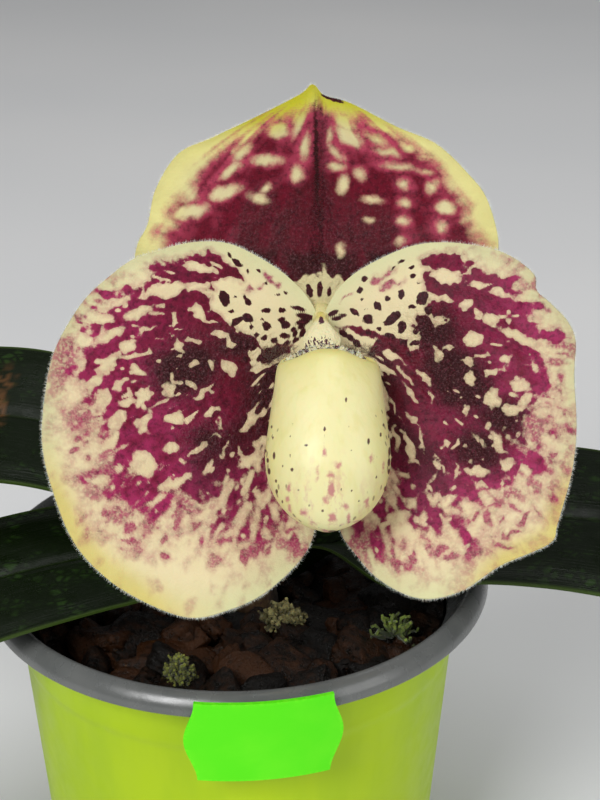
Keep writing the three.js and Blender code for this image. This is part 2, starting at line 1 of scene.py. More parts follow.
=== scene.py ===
"""The looks of a slipper orchid in flower, standing in its nursery pot.

Lengths in the classes are millimetres; meshes are written in metres. The flower's own pieces are
drawn in its frame: +x right, +y up and +z towards whoever looks at it.
"""
import logging
import math
from dataclasses import dataclass, field
from enum import Enum
from typing import Callable, Sequence

import bpy
import numpy as np
from mathutils import Matrix, Vector


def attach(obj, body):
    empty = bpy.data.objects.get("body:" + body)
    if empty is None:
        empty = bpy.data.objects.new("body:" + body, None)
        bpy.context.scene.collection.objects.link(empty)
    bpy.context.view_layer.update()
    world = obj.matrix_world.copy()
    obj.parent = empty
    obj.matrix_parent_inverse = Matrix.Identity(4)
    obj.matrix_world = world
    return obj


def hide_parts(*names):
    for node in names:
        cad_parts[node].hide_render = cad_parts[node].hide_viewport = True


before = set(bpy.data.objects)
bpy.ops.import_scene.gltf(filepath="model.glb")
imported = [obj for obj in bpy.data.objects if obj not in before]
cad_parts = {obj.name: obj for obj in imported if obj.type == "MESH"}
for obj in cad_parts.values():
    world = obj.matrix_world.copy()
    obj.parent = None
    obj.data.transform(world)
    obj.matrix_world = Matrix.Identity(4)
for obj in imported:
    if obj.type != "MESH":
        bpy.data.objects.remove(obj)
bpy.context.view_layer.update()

LOG = logging.getLogger("orchid")
MM = 0.001
# In metres: vertices nearer than this are one.
WELD_GAP = 2e-6

Array = np.ndarray
Surface = Callable[[Array, Array], Array]
Depth = Callable[[Array, Array, Array, Array], Array]
Tint = Callable[[Array, Array, Array], tuple[Array, Array]]
Point = tuple[float, float, float]
Flat = tuple[float, float]
Marks = Sequence[tuple[float, ...]]
Colour = tuple[float, float, float, float]
Socket = bpy.types.NodeSocket
Object = bpy.types.Object
Material = bpy.types.Material


# ---- arithmetic
def smooth(value: Array | float, low: float, high: float) -> Array:
    """Rises from 0 at low to 1 at high, with a soft start and end."""
    share = np.clip((np.asarray(value, float) - low) / (high - low), 0.0, 1.0)
    return share * share * (3.0 - 2.0 * share)


def between(start: Array | float, end: Array | float, share: Array | float) -> Array:
    """Goes from start to end as share goes from 0 to 1."""
    return start + (end - start) * share


def bell(value: Array, width: float) -> Array:
    """Is 1 at nought and falls away within about width on either side."""
    return np.exp(-((value / width) ** 2))


def lattice(column: Array, row: Array, seed: int) -> Array:
    """Gives a settled random number from -1 to 1 for each whole grid point.

    Args:
        column: Whole column numbers.
        row: Whole row numbers.
        seed: Which set of numbers to take.

    Returns:
        One number for each grid point.
    """
    key = column.astype(np.int64) * 374761393 + row.astype(np.int64) * 668265263 + seed * 974634777
    key = (key ^ (key >> 13)) * 1274126177
    key = (key ^ (key >> 16)) & 0xFFFFFF
    return key / float(0x7FFFFF) - 1.0


def grain(x: Array, y: Array, size: float, seed: int) -> Array:
    """Gives smooth random blotches.

    Args:
        x: Positions across.
        y: Positions up.
        size: How large a blotch is.
        seed: Which set of blotches to take.

    Returns:
        Heights from -1 to 1.
    """
    across, up = np.asarray(x, float) / size, np.asarray(y, float) / size
    x0, y0 = np.floor(across), np.floor(up)
    fx, fy = smooth(across - x0, 0, 1), smooth(up - y0, 0, 1)
    near = between(lattice(x0, y0, seed), lattice(x0 + 1, y0, seed), fx)
    far = between(lattice(x0, y0 + 1, seed), lattice(x0 + 1, y0 + 1, seed), fx)
    return between(near, far, fy)


def cubic(start: Array, end: Array, leave: Array, arrive: Array, share: Array) -> Array:
    """Goes from start to end, leaving and arriving with the given pulls."""
    bend = (2 * start - 2 * end + leave + arrive) * share**3
    return bend + (3 * end - 3 * start - 2 * leave - arrive) * share**2 + leave * share + start


def catmull(p0: Array, p1: Array, p2: Array, p3: Array, share: Array) -> Array:
    """Goes from p1 to p2 on the even Catmull-Rom curve through four points."""
    return cubic(p1, p2, (p2 - p0) / 2, (p3 - p1) / 2, share)


class Curve:
    """A smooth curve through points, walked at an even pace."""

    def __init__(self, points: Array, steps: int) -> None:
        """Measures the curve in a number of steps."""
        self.points = points
        self.steps = np.linspace(0, 1, steps + 1)
        walked = np.linalg.norm(np.diff(self._spline(self.steps), axis=0), axis=1)
        self.lengths = np.concatenate([[0], np.cumsum(walked)])

    def _spline(self, step: Array) -> Array:
        """Gives the curve's points, step going from 0 to 1 by the listed points."""
        raise NotImplementedError

    def at(self, share: Array) -> Array:
        """Gives the points at shares of the way along."""
        return self._spline(np.interp(share * self.lengths[-1], self.lengths, self.steps))


class Outline(Curve):
    """A smooth closed curve through 2-D points, with a corner where it starts."""

    def __init__(self, points: Sequence[Flat]) -> None:
        """Closes the curve and measures it."""
        super().__init__(np.array([*points, points[0]], float), 600)

    def _spline(self, step: Array) -> Array:
        """Gives the curve's points, evenly rounded."""
        last = len(self.points) - 1
        place = step * last
        start = np.minimum(np.floor(place).astype(int), last)
        corner = [self.points[np.clip(start + k, 0, last)] for k in (-1, 0, 1, 2)]
        return catmull(*corner, (place - start)[:, None])


class Route(Curve):
    """A smooth open curve through 3-D points."""

    def __init__(self, points: Sequence[Point] | Array) -> None:
        """Adds a point beyond either end and measures the curve."""
        given = np.array(points, float)
        before, after = 2 * given[0] - given[1], 2 * given[-1] - given[-2]
        super().__init__(np.vstack([before, given, after]), 400)

    def _spline(self, step: Array) -> Array:
        """Gives the curve's points, rounded by how far apart they are."""
        spans = len(self.points) - 3
        place = step * spans
        start = np.clip(np.floor(place).astype(int), 0, spans - 1)
        p0, p1, p2, p3 = (self.points[start + k] for k in range(4))
        d0, d1, d2 = (np.sqrt(np.linalg.norm(b - a, axis=1))[:, None]
                      for a, b in ((p0, p1), (p1, p2), (p2, p3)))
        leave = ((p1 - p0) / d0 - (p2 - p0) / (d0 + d1) + (p2 - p1) / d1) * d1
        arrive = ((p2 - p1) / d1 - (p3 - p1) / (d1 + d2) + (p3 - p2) / d2) * d1
        return cubic(p1, p2, leave, arrive, (place - start)[:, None])

    def along(self, share: Array) -> Array:
        """Gives the directions at shares of the way along."""
        step = 1e-3
        return unit(self.at(np.clip(share + step, 0, 1)) - self.at(np.clip(share - step, 0, 1)))


def unit(vectors: Array) -> Array:
    """Gives each vector the length 1."""
    return vectors / np.maximum(np.linalg.norm(vectors, axis=-1, keepdims=True), 1e-12)


# ---- modelling by hand
def alone(piece: Object) -> Object:
    """Selects one piece and nothing else, and makes it active."""
    none_selected()
    piece.select_set(True)
    bpy.context.view_layer.objects.active = piece
    return piece


def none_selected() -> None:
    """Leaves nothing selected."""
    bpy.ops.object.select_all(action="DESELECT")


def whole_mesh() -> None:
    """Selects all of the mesh that is being edited."""
    bpy.ops.mesh.select_all(action="SELECT")


def added(name: str) -> Object:
    """Names the primitive that was just added."""
    piece = bpy.context.active_object
    piece.name = piece.data.name = name
    return piece


def vertices(piece: Object) -> Array:
    """Reads a piece's vertices, in its own units."""
    flat = np.empty(len(piece.data.vertices) * 3)
    piece.data.vertices.foreach_get("co", flat)
    return flat.reshape(-1, 3)


def place(piece: Object, positions: Array) -> None:
    """Moves a piece's vertices to positions in millimetres."""
    piece.data.vertices.foreach_set("co", (np.asarray(positions) * MM).ravel())
    piece.data.update()


def tag(piece: Object, name: str, values: Array) -> None:
    """Stores one number for each vertex, which a finish reads by name."""
    layer = piece.data.attributes.new(name, "FLOAT", "POINT")
    layer.data.foreach_set("value", np.broadcast_to(values, len(piece.data.vertices)).astype(np.float32))


def sheet(name: str, rows: int, columns: int, surface: Surface) -> tuple[Object, Array, Array]:
    """Adds a flat grid and bends it onto a surface.

    Args:
        name: The piece's name.
        rows: Cells along the surface.
        columns: Cells across it.
        surface: Gives points in millimetres for places from 0 to 1 along and across.

    Returns:
        The piece, and how far along and across each of its vertices is.
    """
    none_selected()
    bpy.ops.mesh.primitive_grid_add(x_subdivisions=rows, y_subdivisions=columns, size=2)
    piece = added(name)
    flat = vertices(piece)
    along, across = (flat[:, 0] + 1) / 2, (flat[:, 1] + 1) / 2
    place(piece, surface(along, across))
    return piece, along, across


def weld(piece: Object, outwards: bool = True) -> Object:
    """Joins vertices that meet, closes open ends and turns the faces outwards.

    Args:
        piece: The piece to close up.
        outwards: Whether to fill holes and turn the faces too.

    Returns:
        The same piece.
    """
    alone(piece)
    bpy.ops.object.mode_set(mode="EDIT")
    whole_mesh()
    bpy.ops.mesh.remove_doubles(threshold=WELD_GAP)
    if outwards:
        bpy.ops.mesh.select_all(action="DESELECT")
        bpy.ops.mesh.select_non_manifold(extend=False, use_wire=False, use_multi_face=False,
                                         use_non_contiguous=False, use_verts=False)
        bpy.ops.mesh.fill_holes(sides=0)
        whole_mesh()
    bpy.ops.mesh.normals_make_consistent(inside=False)
    bpy.ops.object.mode_set(mode="OBJECT")
    return piece


def modified(piece: Object, kind: str, **settings: object) -> Object:
    """Adds a modifier, sets it and applies it.

    Args:
        piece: The piece to change.
        kind: Blender's name for the modifier.
        **settings: Its settings.

    Returns:
        The same piece.
    """
    alone(piece)
    modifier = piece.modifiers.new(kind.title(), kind)
    for key, value in settings.items():
        setattr(modifier, key, value)
    bpy.ops.object.modifier_apply(modifier=modifier.name)
    return piece


def thicken(piece: Object, thickness: float, thinning: Array | None = None,
            two_faced: bool = False) -> Object:
    """Gives a sheet its thickness, half on either side.

    Args:
        piece: The sheet.
        thickness: How thick it is at most.
        thinning: For each vertex, its share of that thickness.
        two_faced: Whether its second face takes the second material.

    Returns:
        The same piece.
    """
    settings = {"thickness": thickness * MM, "offset": 0.0, "material_offset": int(two_faced)}
    if thinning is not None:
        group = piece.vertex_groups.new(name="thickness")
        fine = 40
        levels = np.round(thinning * fine).astype(int)
        for level in np.unique(levels):
            group.add(np.flatnonzero(levels == level).tolist(), level / fine, "REPLACE")
        settings["vertex_group"] = "thickness"
    modified(piece, "SOLIDIFY", **settings)
    if thinning is not None:
        piece.vertex_groups.clear()
    return piece


def rounded(piece: Object, angle: float = 50) -> Object:
    """Shades a piece smooth, with edges sharper than angle degrees kept crisp."""
    alone(piece)
    bpy.ops.object.shade_smooth_by_angle(angle=math.radians(angle))
    return piece


def raw_mesh(name: str, positions: Array, faces: list[list[int]]) -> Object:
    """Makes a piece straight from points in millimetres and faces."""
    mesh = bpy.data.meshes.new(name)
    mesh.from_pydata((positions * MM).tolist(), [], faces)
    mesh.update()
    piece = bpy.data.objects.new(name, mesh)
    bpy.context.scene.collection.objects.link(piece)
    return piece


def hairs(name: str, roots: Array, out: Array, draw: np.random.Generator, wild: float,
          lengths: Flat, radius: float, sunk: float = 0.0) -> Object:
    """Makes many fine hairs as one piece.

    Args:
        name: The piece's name.
        roots: Where each hair comes out, in millimetres.
        out: Which way the hairs stand.
        draw: Where their random numbers come from.
        wild: How far a hair leans from the way it stands.
        lengths: The shortest and the longest hair.
        radius: How thick a hair is at its root.
        sunk: How deep its root is sunk.

    Returns:
        The piece, each hair a closed three-sided spike.
    """
    lean = unit(out + wild * draw.normal(size=roots.shape))
    tips = roots + lean * draw.uniform(*lengths, (len(roots), 1))
    roots = roots - sunk * lean
    along = unit(tips - roots)
    aside = unit(np.cross(along, np.where(np.abs(along[:, 2:]) < 0.9, [[0, 0, 1.0]], [[1.0, 0, 0]])))
    other = np.cross(along, aside)
    turns = [2 * math.pi * k / 3 for k in range(3)]
    base = [roots + radius * (math.cos(t) * aside + math.sin(t) * other) for t in turns]
    points = np.stack([*base, tips], axis=1).reshape(-1, 3)
    first = 4 * np.arange(len(roots))[:, None, None]
    spike = np.array([[0, 1, 3], [1, 2, 3], [2, 0, 3], [2, 1, 0]])
    return raw_mesh(name, points, (first + spike).reshape(-1, 3).tolist())


def strands(name: str, routes: Sequence[Array], radii: Sequence[float], sides: int, taper: float) -> Object:
    """Makes many tapered strands as one piece.

    Args:
        name: The piece's name.
        routes: For each strand, the points of its middle line in millimetres.
        radii: For each strand, how thick it is at its root.
        sides: How many sides a strand has.
        taper: How much of its thickness a strand loses.

    Returns:
        The piece, each strand closed at both ends.
    """
    points: list[Array] = []
    faces: list[list[int]] = []
    turns = 2 * math.pi * np.arange(sides)[:, None] / sides
    for route, radius in zip(routes, radii):
        along = unit(np.gradient(route, axis=0))
        aside = unit(np.cross(along, [0.31, 0.22, 0.92]))
        other = np.cross(along, aside)
        first, count = sum(map(len, points)), len(route)
        for i, share in enumerate(np.linspace(0, 1, count)):
            wide = radius * (1 - taper * share)
            points.append(route[i] + wide * (np.cos(turns) * aside[i] + np.sin(turns) * other[i]))
        for i in range(count - 1):
            a, b = first + i * sides, first + (i + 1) * sides
            faces += [[a + j, a + (j + 1) % sides, b + (j + 1) % sides, b + j] for j in range(sides)]
        faces.append([first + j for j in reversed(range(sides))])
        faces.append([first + (count - 1) * sides + j for j in range(sides)])
    return raw_mesh(name, np.vstack(points), faces)


def finished(piece: Object, slot: str, *finishes: Material, stands_for: Sequence[str] = ()) -> Object:
    """Dresses a piece and says what it rides on and stands for.

    Args:
        piece: The piece.
        slot: The record's material slot; not used.
        *finishes: Its materials, the main one first.
        stands_for: The CAD nodes that it stands for.

    Returns:
        The same piece.
    """
    for index, material in enumerate(finishes):
        if index < len(piece.material_slots):
            piece.material_slots[index].material = material
        else:
            piece.data.materials.append(material)
    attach(piece, "root")
    if stands_for:
        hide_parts(*stands_for)
    LOG.info("%s: %d faces", piece.name, len(piece.data.polygons))
    return piece


# ---- laying out finishes
def colour(red: float, green: float, blue: float) -> Colour:
    """Turns a screen colour from 0 to 255 into the renderer's own numbers."""
    def linear(part: float) -> float:
        """Undoes the screen's curve for one part of a colour."""
        share = part / 255
        return share / 12.92 if share <= 0.04045 else ((share + 0.055) / 1.055) ** 2.4

    return (linear(red), linear(green), linear(blue), 1.0)


class Paint:
    """One material while its nodes are laid out."""

    def __init__(self, name: str, roughness: float, **constants: object) -> None:
        """Starts a material.

        Args:
            name: The material's name.
            roughness: The shader's roughness.
            **constants: Other values for the shader's own sockets, by name with _ for a space.
        """
        self.material = bpy.data.materials.new(name)
        self.material.use_nodes = True
        self.tree = self.material.node_tree
        self.shader = self.tree.nodes["Principled BSDF"]
        self.shader.inputs["Roughness"].default_value = roughness
        for key, value in constants.items():
            self.shader.inputs[key.replace("_", " ")].default_value = value
        self.place = self._node("ShaderNodeTexCoord").outputs["Object"]

    def _node(self, kind: str, **settings: object) -> bpy.types.Node:
        """Adds a node and sets its options."""
        node = self.tree.nodes.new(kind)
        for key, value in settings.items():
            setattr(node, key, value)
        return node

    def _feed(self, socket: Socket, value: Socket | float | Colour) -> None:
        """Links a socket to another, or sets its value."""
        if isinstance(value, bpy.types.NodeSocket):
            self.tree.links.new(value, socket)
        else:
            socket.default_value = value

    def attribute(self, name: str) -> Socket:
        """Reads a number that the piece's vertices carry."""
        return self._node("ShaderNodeAttribute", attribute_name=name).outputs["Fac"]

    def uv(self) -> Socket:
        """Reads how far along and across the surface a place is."""
        return self._node("ShaderNodeTexCoord").outputs["UV"]

    def stretched(self, scale: Point, vector: Socket | None = None) -> Socket:
        """Scales the place that a texture reads, by its own amount on each axis."""
        node = self._node("ShaderNodeMapping")
        self._feed(node.inputs["Vector"], self.place if vector is None else vector)
        node.inputs["Scale"].default_value = scale
        return node.outputs["Vector"]

    def noise(self, size: float, detail: float = 2, roughness: float = 0.5,
              vector: Socket | None = None) -> Socket:
        """Adds cloudy noise.

        Args:
            size: How large a blotch is, in millimetres, or in the vector's units times a thousand.
            detail: How many finer layers it has.
            roughness: How strong they are.
            vector: What it reads, if not the place on the piece.

        Returns:
            A number about 0.5.
        """
        node = self._node("ShaderNodeTexNoise")
        self._feed(node.inputs["Vector"], self.place if vector is None else vector)
        node.inputs["Scale"].default_value = 1 / (size * MM)
        node.inputs["Detail"].default_value = detail
        node.inputs["Roughness"].default_value = roughness
        return node.outputs["Fac"]

    def cells(self, size: float, feature: str = "F1", vector: Socket | None = None) -> bpy.types.Node:
        """Adds a cell texture whose cells are about size millimetres across."""
        node = self._node("ShaderNodeTexVoronoi", feature=feature)
        self._feed(node.inputs["Vector"], self.place if vector is None else vector)
        node.inputs["Scale"].default_value = 1 / (size * MM)
        return node

    def sum(self, kind: str, first: Socket | float, second: Socket | float) -> Socket:
        """Does a sum on two numbers; kind is Blender's name for it."""
        node = self._node("ShaderNodeMath", operation=kind)
        self._feed(node.inputs[0], first)
        self._feed(node.inputs[1], second)
        return node.outputs[0]

    def times(self, first: Socket | float, second: Socket | float) -> Socket:
        """Multiplies two numbers."""
        return self.sum("MULTIPLY", first, second)

    def rise(self, value: Socket, low: Socket | float, high: Socket | float,
             to_low: float = 0.0, to_high: float = 1.0) -> Socket:
        """Goes softly from to_low to to_high as value goes from low to high."""
        node = self._node("ShaderNodeMapRange", interpolation_type="SMOOTHSTEP")
        for name, given in (("Value", value), ("From Min", low), ("From Max", high),
                            ("To Min", to_low), ("To Max", to_high)):
            self._feed(node.inputs[name], given)
        return node.outputs["Result"]

    def blend(self, share: Socket | float, first: Socket | Colour, second: Socket | Colour) -> Socket:
        """Goes from the first colour to the second as share goes from 0 to 1."""
        node = self._node("ShaderNodeMix", data_type="RGBA", clamp_factor=True)
        for number, given in ((0, share), (6, first), (7, second)):
            self._feed(node.inputs[number], given)
        return node.outputs[2]

    def relief(self, height: Socket, depth: float, under: Socket | None = None) -> Socket:
        """Raises the surface by up to depth millimetres where height is 1."""
        node = self._node("ShaderNodeBump")
        node.inputs["Distance"].default_value = depth * MM
        self._feed(node.inputs["Height"], height)
        if under is not None:
            self._feed(node.inputs["Normal"], under)
        return node.outputs["Normal"]

    def done(self, base: Socket | Colour, relief: Socket | None = None,
             roughness: Socket | None = None) -> Material:
        """Links what was laid out to the shader.

        Args:
            base: The colour.
            relief: The raised surface, if any.
            roughness: How rough each place is, if it varies.

        Returns:
            The finished material.
        """
        self._feed(self.shader.inputs["Base Color"], base)
        if relief is not None:
            self._feed(self.shader.inputs["Normal"], relief)
        if roughness is not None:
            self._feed(self.shader.inputs["Roughness"], roughness)
        return self.material


# ---- the finishes
@dataclass(frozen=True)
class MouldedPlastic:
    """Thin moulded sheet plastic with a faint haze of dust and fine scuffs."""

    name: str
    main: Colour
    shade: Colour
    roughness: float
    specular: float = 0.5

    def material(self) -> Material:
        """Lays out the finish."""
        paint = Paint(self.name, self.roughness, Specular_IOR_Level=self.specular)
        drawn = paint.noise(9, 3, 0.6, paint.stretched((1, 1, 0.25)))
        speck = paint.rise(paint.noise(0.45, 2, 0.6), 0.62, 0.74)
        cloud = paint.rise(drawn, 0.35, 0.7, 0.0, 0.75)
        base = paint.blend(paint.sum("ADD", cloud, paint.times(speck, 0.18)), self.main, self.shade)
        scuff = paint.noise(0.35, 3, 0.65)
        low, high = self.roughness - 0.05, self.roughness + 0.12
        rough = paint.rise(paint.noise(5, 4, 0.6), 0.3, 0.75, low, high)
        return paint.done(base, paint.relief(scuff, 0.015, paint.relief(drawn, 0.12)), rough)


@dataclass(frozen=True)
class LabelPaper:
    """Bright day-glow paper, bare, with a faint tooth and slightly worn edges."""

    main: Colour = colour(90, 240, 0)
    pale: Colour = colour(112, 248, 22)

    def material(self) -> Material:
        """Lays out the finish."""
        paint = Paint("label_paper", 0.62, Specular_IOR_Level=0.3)
        cloud = paint.rise(paint.noise(6, 3), 0.35, 0.75, 0, 0.45)
        worn = paint.times(paint.attribute("edge"), paint.rise(paint.noise(0.7, 2), 0.45, 0.6))
        base = paint.blend(paint.sum("ADD", cloud, worn), self.main, self.pale)
        return paint.done(base, paint.relief(paint.noise(0.12, 3), 0.02))


@dataclass(frozen=True)
class BarkSkin:
    """Damp pine bark: dark red-brown, layered, pitted, with paler broken spots."""

    dark: Colour = colour(6, 3, 0)
    warm: Colour = colour(60, 32, 8)
    pale: Colour = colour(126, 84, 38)

    def material(self) -> Material:
        """Lays out the finish."""
        paint = Paint("bark_skin", 0.45, Specular_IOR_Level=0.26)
        layers = paint.noise(1.5, 5, 0.7)
        tone = paint.attribute("tone")
        share = paint.rise(paint.sum("ADD", layers, paint.times(tone, 0.32)), 0.42, 0.86)
        base = paint.blend(share, self.dark, self.warm)
        broken = paint.rise(paint.noise(2.6, 4, 0.7), 0.66, 0.74, 0, 0.75)
        base = paint.blend(broken, base, self.pale)
        pits = paint.relief(paint.noise(0.55, 4, 0.7), 0.3, paint.relief(layers, 0.7))
        return paint.done(base, pits, paint.rise(layers, 0.3, 0.75, 0.22, 0.6))


@dataclass(frozen=True)
class MossGreen:
    """Moss or lichen whose strands pale towards their tips."""

    name: str
    root: Colour
    tip: Colour

    def material(self) -> Material:
        """Lays out the finish."""
        paint = Paint(self.name, 0.85, Sheen_Weight=0.2, Subsurface_Weight=0.1, Subsurface_Scale=0.001)
        cloud = paint.rise(paint.noise(1.2, 3), 0.3, 0.7, -0.3, 0.3)
        share = paint.sum("ADD", paint.attribute("tone"), cloud)
        return paint.done(paint.blend(share, self.root, self.tip), paint.relief(paint.noise(0.3, 3), 0.1))


@dataclass(frozen=True)
class LeafSkin:
    """A waxy leaf: deep green, with a netted paler mottle, a fine pale margin and maybe a dry scar."""

    name: str
    deep: Colour
    mottle: Colour
    rim: Colour
    roughness: float = 0.3
    scar: Colour = colour(92, 62, 34)

    def material(self) -> Material:
        """Lays out the finish."""
        paint = Paint(self.name, self.roughness, Specular_IOR_Level=0.12)
        run = paint.stretched((0.12, 0.045, 1), paint.uv())
        net = paint.cells(2.1, "DISTANCE_TO_EDGE", run).outputs["Distance"]
        patch = paint.rise(paint.noise(5.2, 4, 0.62), 0.46, 0.66)
        mottle = paint.times(paint.rise(net, 0.02, 0.3), patch)
        base = paint.blend(paint.times(mottle, 0.75), self.deep, self.mottle)
        base = paint.blend(paint.rise(paint.attribute("rim"), 0, 1), base, self.rim)
        base = paint.blend(paint.times(paint.attribute("scar"), 0.9), base, self.scar)
        veins = paint.noise(1.2, 3, 0.5, paint.stretched((0.012, 0.12, 1), paint.uv()))
        relief = paint.relief(paint.noise(0.5, 3, 0.6), 0.05, paint.relief(veins, 0.07))
        rough = paint.rise(paint.noise(4, 4, 0.6), 0.3, 0.75, self.roughness - 0.06, self.roughness + 0.16)
        return paint.done(base, relief, rough)


@dataclass(frozen=True)
class StemSkin:
    """Purple-brown stem skin, streaked along, under a coat of fine hair."""

    name: str = "stem_skin"
    main: Colour = colour(104, 58, 66)
    pale: Colour = colour(150, 128, 92)
    dot: Colour = colour(70, 28, 44)

    def material(self) -> Material:
        """Lays out the finish."""
        paint = Paint(self.name, 0.7, Sheen_Weight=0.5, Sheen_Roughness=0.4)
        streak = paint.noise(1.1, 3, 0.6, paint.stretched((1, 1, 0.3)))
        dots = paint.rise(paint.cells(0.9).outputs["Distance"], 0.34, 0.22)
        base = paint.blend(paint.rise(streak, 0.42, 0.68), self.main, self.pale)
        base = paint.blend(paint.times(dots, 0.6), base, self.dot)
        return paint.done(base, paint.relief(paint.noise(0.3, 3), 0.08))


@dataclass(frozen=True)
class HairCoat:
    """Fine soft plant hair."""

    name: str
    main: Colour
    shade: float = 0.72

    def material(self) -> Material:
        """Lays out the finish."""
        paint = Paint(self.name, 0.55, Subsurface_Weight=0.3, Subsurface_Scale=0.0005)
        tone = paint.rise(paint.noise(1.5, 2), 0.3, 0.7)
        darker = tuple(part * self.shade for part in self.main[:3]) + (1.0,)
        return paint.done(paint.blend(tone, self.main, darker))


@dataclass(frozen=True)
class PrintedPetal:
    """Cream petal skin under a wine-coloured pattern, which the vertices carry, with painted sheen and
    glints.

    ink is how deep a place lies in the pattern, haze how soft its edge is there, freckle where it is
    dusted, brown where it darkens to brown, pink where it pales, crease where the skin is puckered
    and glossy and where painted glints lie, and gold and green where the skin itself turns.
    """

    name: str
    strength: float = 1.0
    cream: Colour = colour(223, 208, 166)
    green: Colour = colour(202, 205, 156)
    gold: Colour = colour(206, 191, 114)
    wine: Colour = colour(100, 4, 32)
    pink: Colour = colour(158, 40, 88)
    brown: Colour = colour(50, 9, 13)
    stain: Colour = colour(192, 182, 124)
    black: Colour = colour(38, 3, 14)
    # Pale pink of the flecks in the ink: partly the skin's own mottle, partly painted sheen.
    pale_fleck_and_sheen: Colour = colour(150, 56, 80)
    # The colour of a painted highlight: the grey-pink glint of the fine hair's sheen.
    shine: Colour = colour(122, 84, 88)

    def material(self) -> Material:
        """Lays out the finish."""
        paint = Paint(self.name, 0.5, Specular_IOR_Level=0.16, Sheen_Weight=0.02, Sheen_Roughness=0.4,
                      Subsurface_Weight=0.06, Subsurface_Scale=0.0008)
        skin = paint.blend(paint.attribute("green"), self.cream, self.green)
        skin = paint.blend(paint.attribute("gold"), skin, self.gold)
        skin = paint.blend(paint.rise(paint.noise(3, 3), 0.35, 0.8, 0, 0.16), skin, self.stain)
        share = paint.times(self.covered(paint), self.strength)
        ink = paint.blend(paint.attribute("pink"), self.wine, self.pink)
        ink = paint.blend(paint.attribute("brown"), ink, self.brown)
        ink = paint.blend(paint.rise(paint.noise(0.8, 4, 0.7), 0.42, 0.7, 0, 0.6), ink, self.black)
        # Pale pink flecks: partly the ink's own mottle, partly painted sheen on the fine crinkles.
        ink = paint.blend(paint.rise(paint.noise(0.42, 2, 0.6), 0.52, 0.72, 0, 0.22), ink, self.pale_fleck_and_sheen)
        # Painted highlight: grey-pink glints of hair sheen, painted into the colour where the skin is
        # puckered.
        glint = paint.rise(paint.noise(0.3, 3, 0.7), 0.5, 0.7, 0, 0.55)
        glint = paint.times(glint, paint.attribute("crease"))
        base = paint.blend(share, skin, paint.blend(glint, ink, self.shine))
        crumple = paint.times(paint.noise(0.8, 4, 0.6), paint.attribute("crease"))
        grainy = paint.relief(paint.cells(0.3).outputs["Distance"], 0.035)
        relief = paint.relief(crumple, 0.75, paint.relief(paint.noise(2.2, 3), 0.22, grainy))
        return paint.done(base, relief, paint.rise(paint.attribute("crease"), 0, 1, 0.5, 0.3))

    @staticmethod
    def covered(paint: Paint) -> Socket:
        """Lays out how much of the pattern's colour covers each place."""
        haze = paint.attribute("haze")
        fleck = paint.sum("SUBTRACT", paint.noise(0.32, 2, 0.6), 0.5)
        ragged = paint.sum("MINIMUM", haze, 0.32)
        fleck = paint.times(fleck, paint.sum("ADD", paint.times(ragged, 1.6), 0.06))
        depth = paint.sum("ADD", paint.attribute("ink"), fleck)
        share = paint.rise(depth, paint.times(haze, -1.0), haze)
        specks = paint.rise(paint.noise(0.45, 2), 0.3, 0.6, 0.5, 1)
        return paint.sum("MAXIMUM", share, paint.times(paint.attribute("freckle"), specks))


@dataclass(frozen=True)
class PouchSkin:
    """Waxy ivory skin with pin-prick purple dots and a few pink clouds low down."""

    main: Colour = colour(234, 225, 168)
    deep: Colour = colour(212, 205, 118)
    dot: Colour = colour(70, 18, 28)
    cloud: Colour = colour(200, 122, 136)
    smear: Colour = colour(186, 96, 114)

    def material(self) -> Material:
        """Lays out the finish."""
        paint = Paint("pouch_skin", 0.42, Specular_IOR_Level=0.4, Subsurface_Weight=0.2,
                      Subsurface_Scale=0.002, Coat_Weight=0.1, Coat_Roughness=0.3)
        veins = paint.noise(1.8, 3, 0.5, paint.stretched((1, 1, 0.22)))
        base = paint.blend(paint.attribute("deep"), self.main, self.deep)
        base = paint.blend(paint.rise(veins, 0.45, 0.75, 0, 0.3), base, self.deep)
        blotch = paint.rise(paint.noise(1.9, 4, 0.65, paint.stretched((1, 1, 0.5))), 0.5, 0.66)
        base = paint.blend(paint.times(blotch, paint.attribute("blush")), base, self.cloud)
        blur = paint.rise(paint.noise(0.7, 3), 0.2, 0.8, -0.3, 0.3)
        smears = paint.sum("ADD", paint.attribute("smears"), blur)
        base = paint.blend(paint.rise(smears, -0.25, 0.45, 0, 0.8), base, self.smear)
        spots = paint.cells(1.1, vector=paint.stretched((1, 1, 0.5)))
        chance = paint.sum("SUBTRACT", paint.attribute("speckle"), spots.outputs["Color"])
        size = paint.rise(chance, -0.15, 0.6, 0.0, 0.3)
        speck = paint.rise(spots.outputs["Distance"], size, paint.sum("SUBTRACT", size, 0.12))
        strength = paint.rise(paint.attribute("speckle"), 0.2, 1, 0.3, 0.6)
        base = paint.blend(paint.times(speck, strength), base, self.dot)
        base = paint.blend(paint.rise(paint.attribute("dots"), -0.12, 0.03, 0, 0.95), base, self.dot)
        relief = paint.relief(veins, 0.12, paint.relief(paint.noise(0.6, 3), 0.03))
        return paint.done(base, relief)


@dataclass(frozen=True)
class ColumnSkin:
    """Cream shield skin, yellow in its cleft, with crowded wine dots along its lower edge."""

    main: Colour = colour(224, 216, 170)
    cleft: Colour = colour(206, 190, 84)
    dot: Colour = colour(72, 20, 40)

    def material(self) -> Material:
        """Lays out the finish."""
        paint = Paint("column_skin", 0.5, Subsurface_Weight=0.15, Subsurface_Scale=0.001)
        base = paint.blend(paint.attribute("gold"), self.main, self.cleft)
        blur = paint.rise(paint.noise(0.25, 2), 0.2, 0.8, -0.12, 0.12)
        ink = paint.sum("ADD", paint.attribute("ink"), blur)
        base = paint.blend(paint.rise(ink, -0.05, 0.05), base, self.dot)
        grains = paint.relief(paint.cells(0.42).outputs["Distance"], 0.12)
        return paint.done(base, paint.relief(paint.noise(0.3, 3), 0.06, grains))


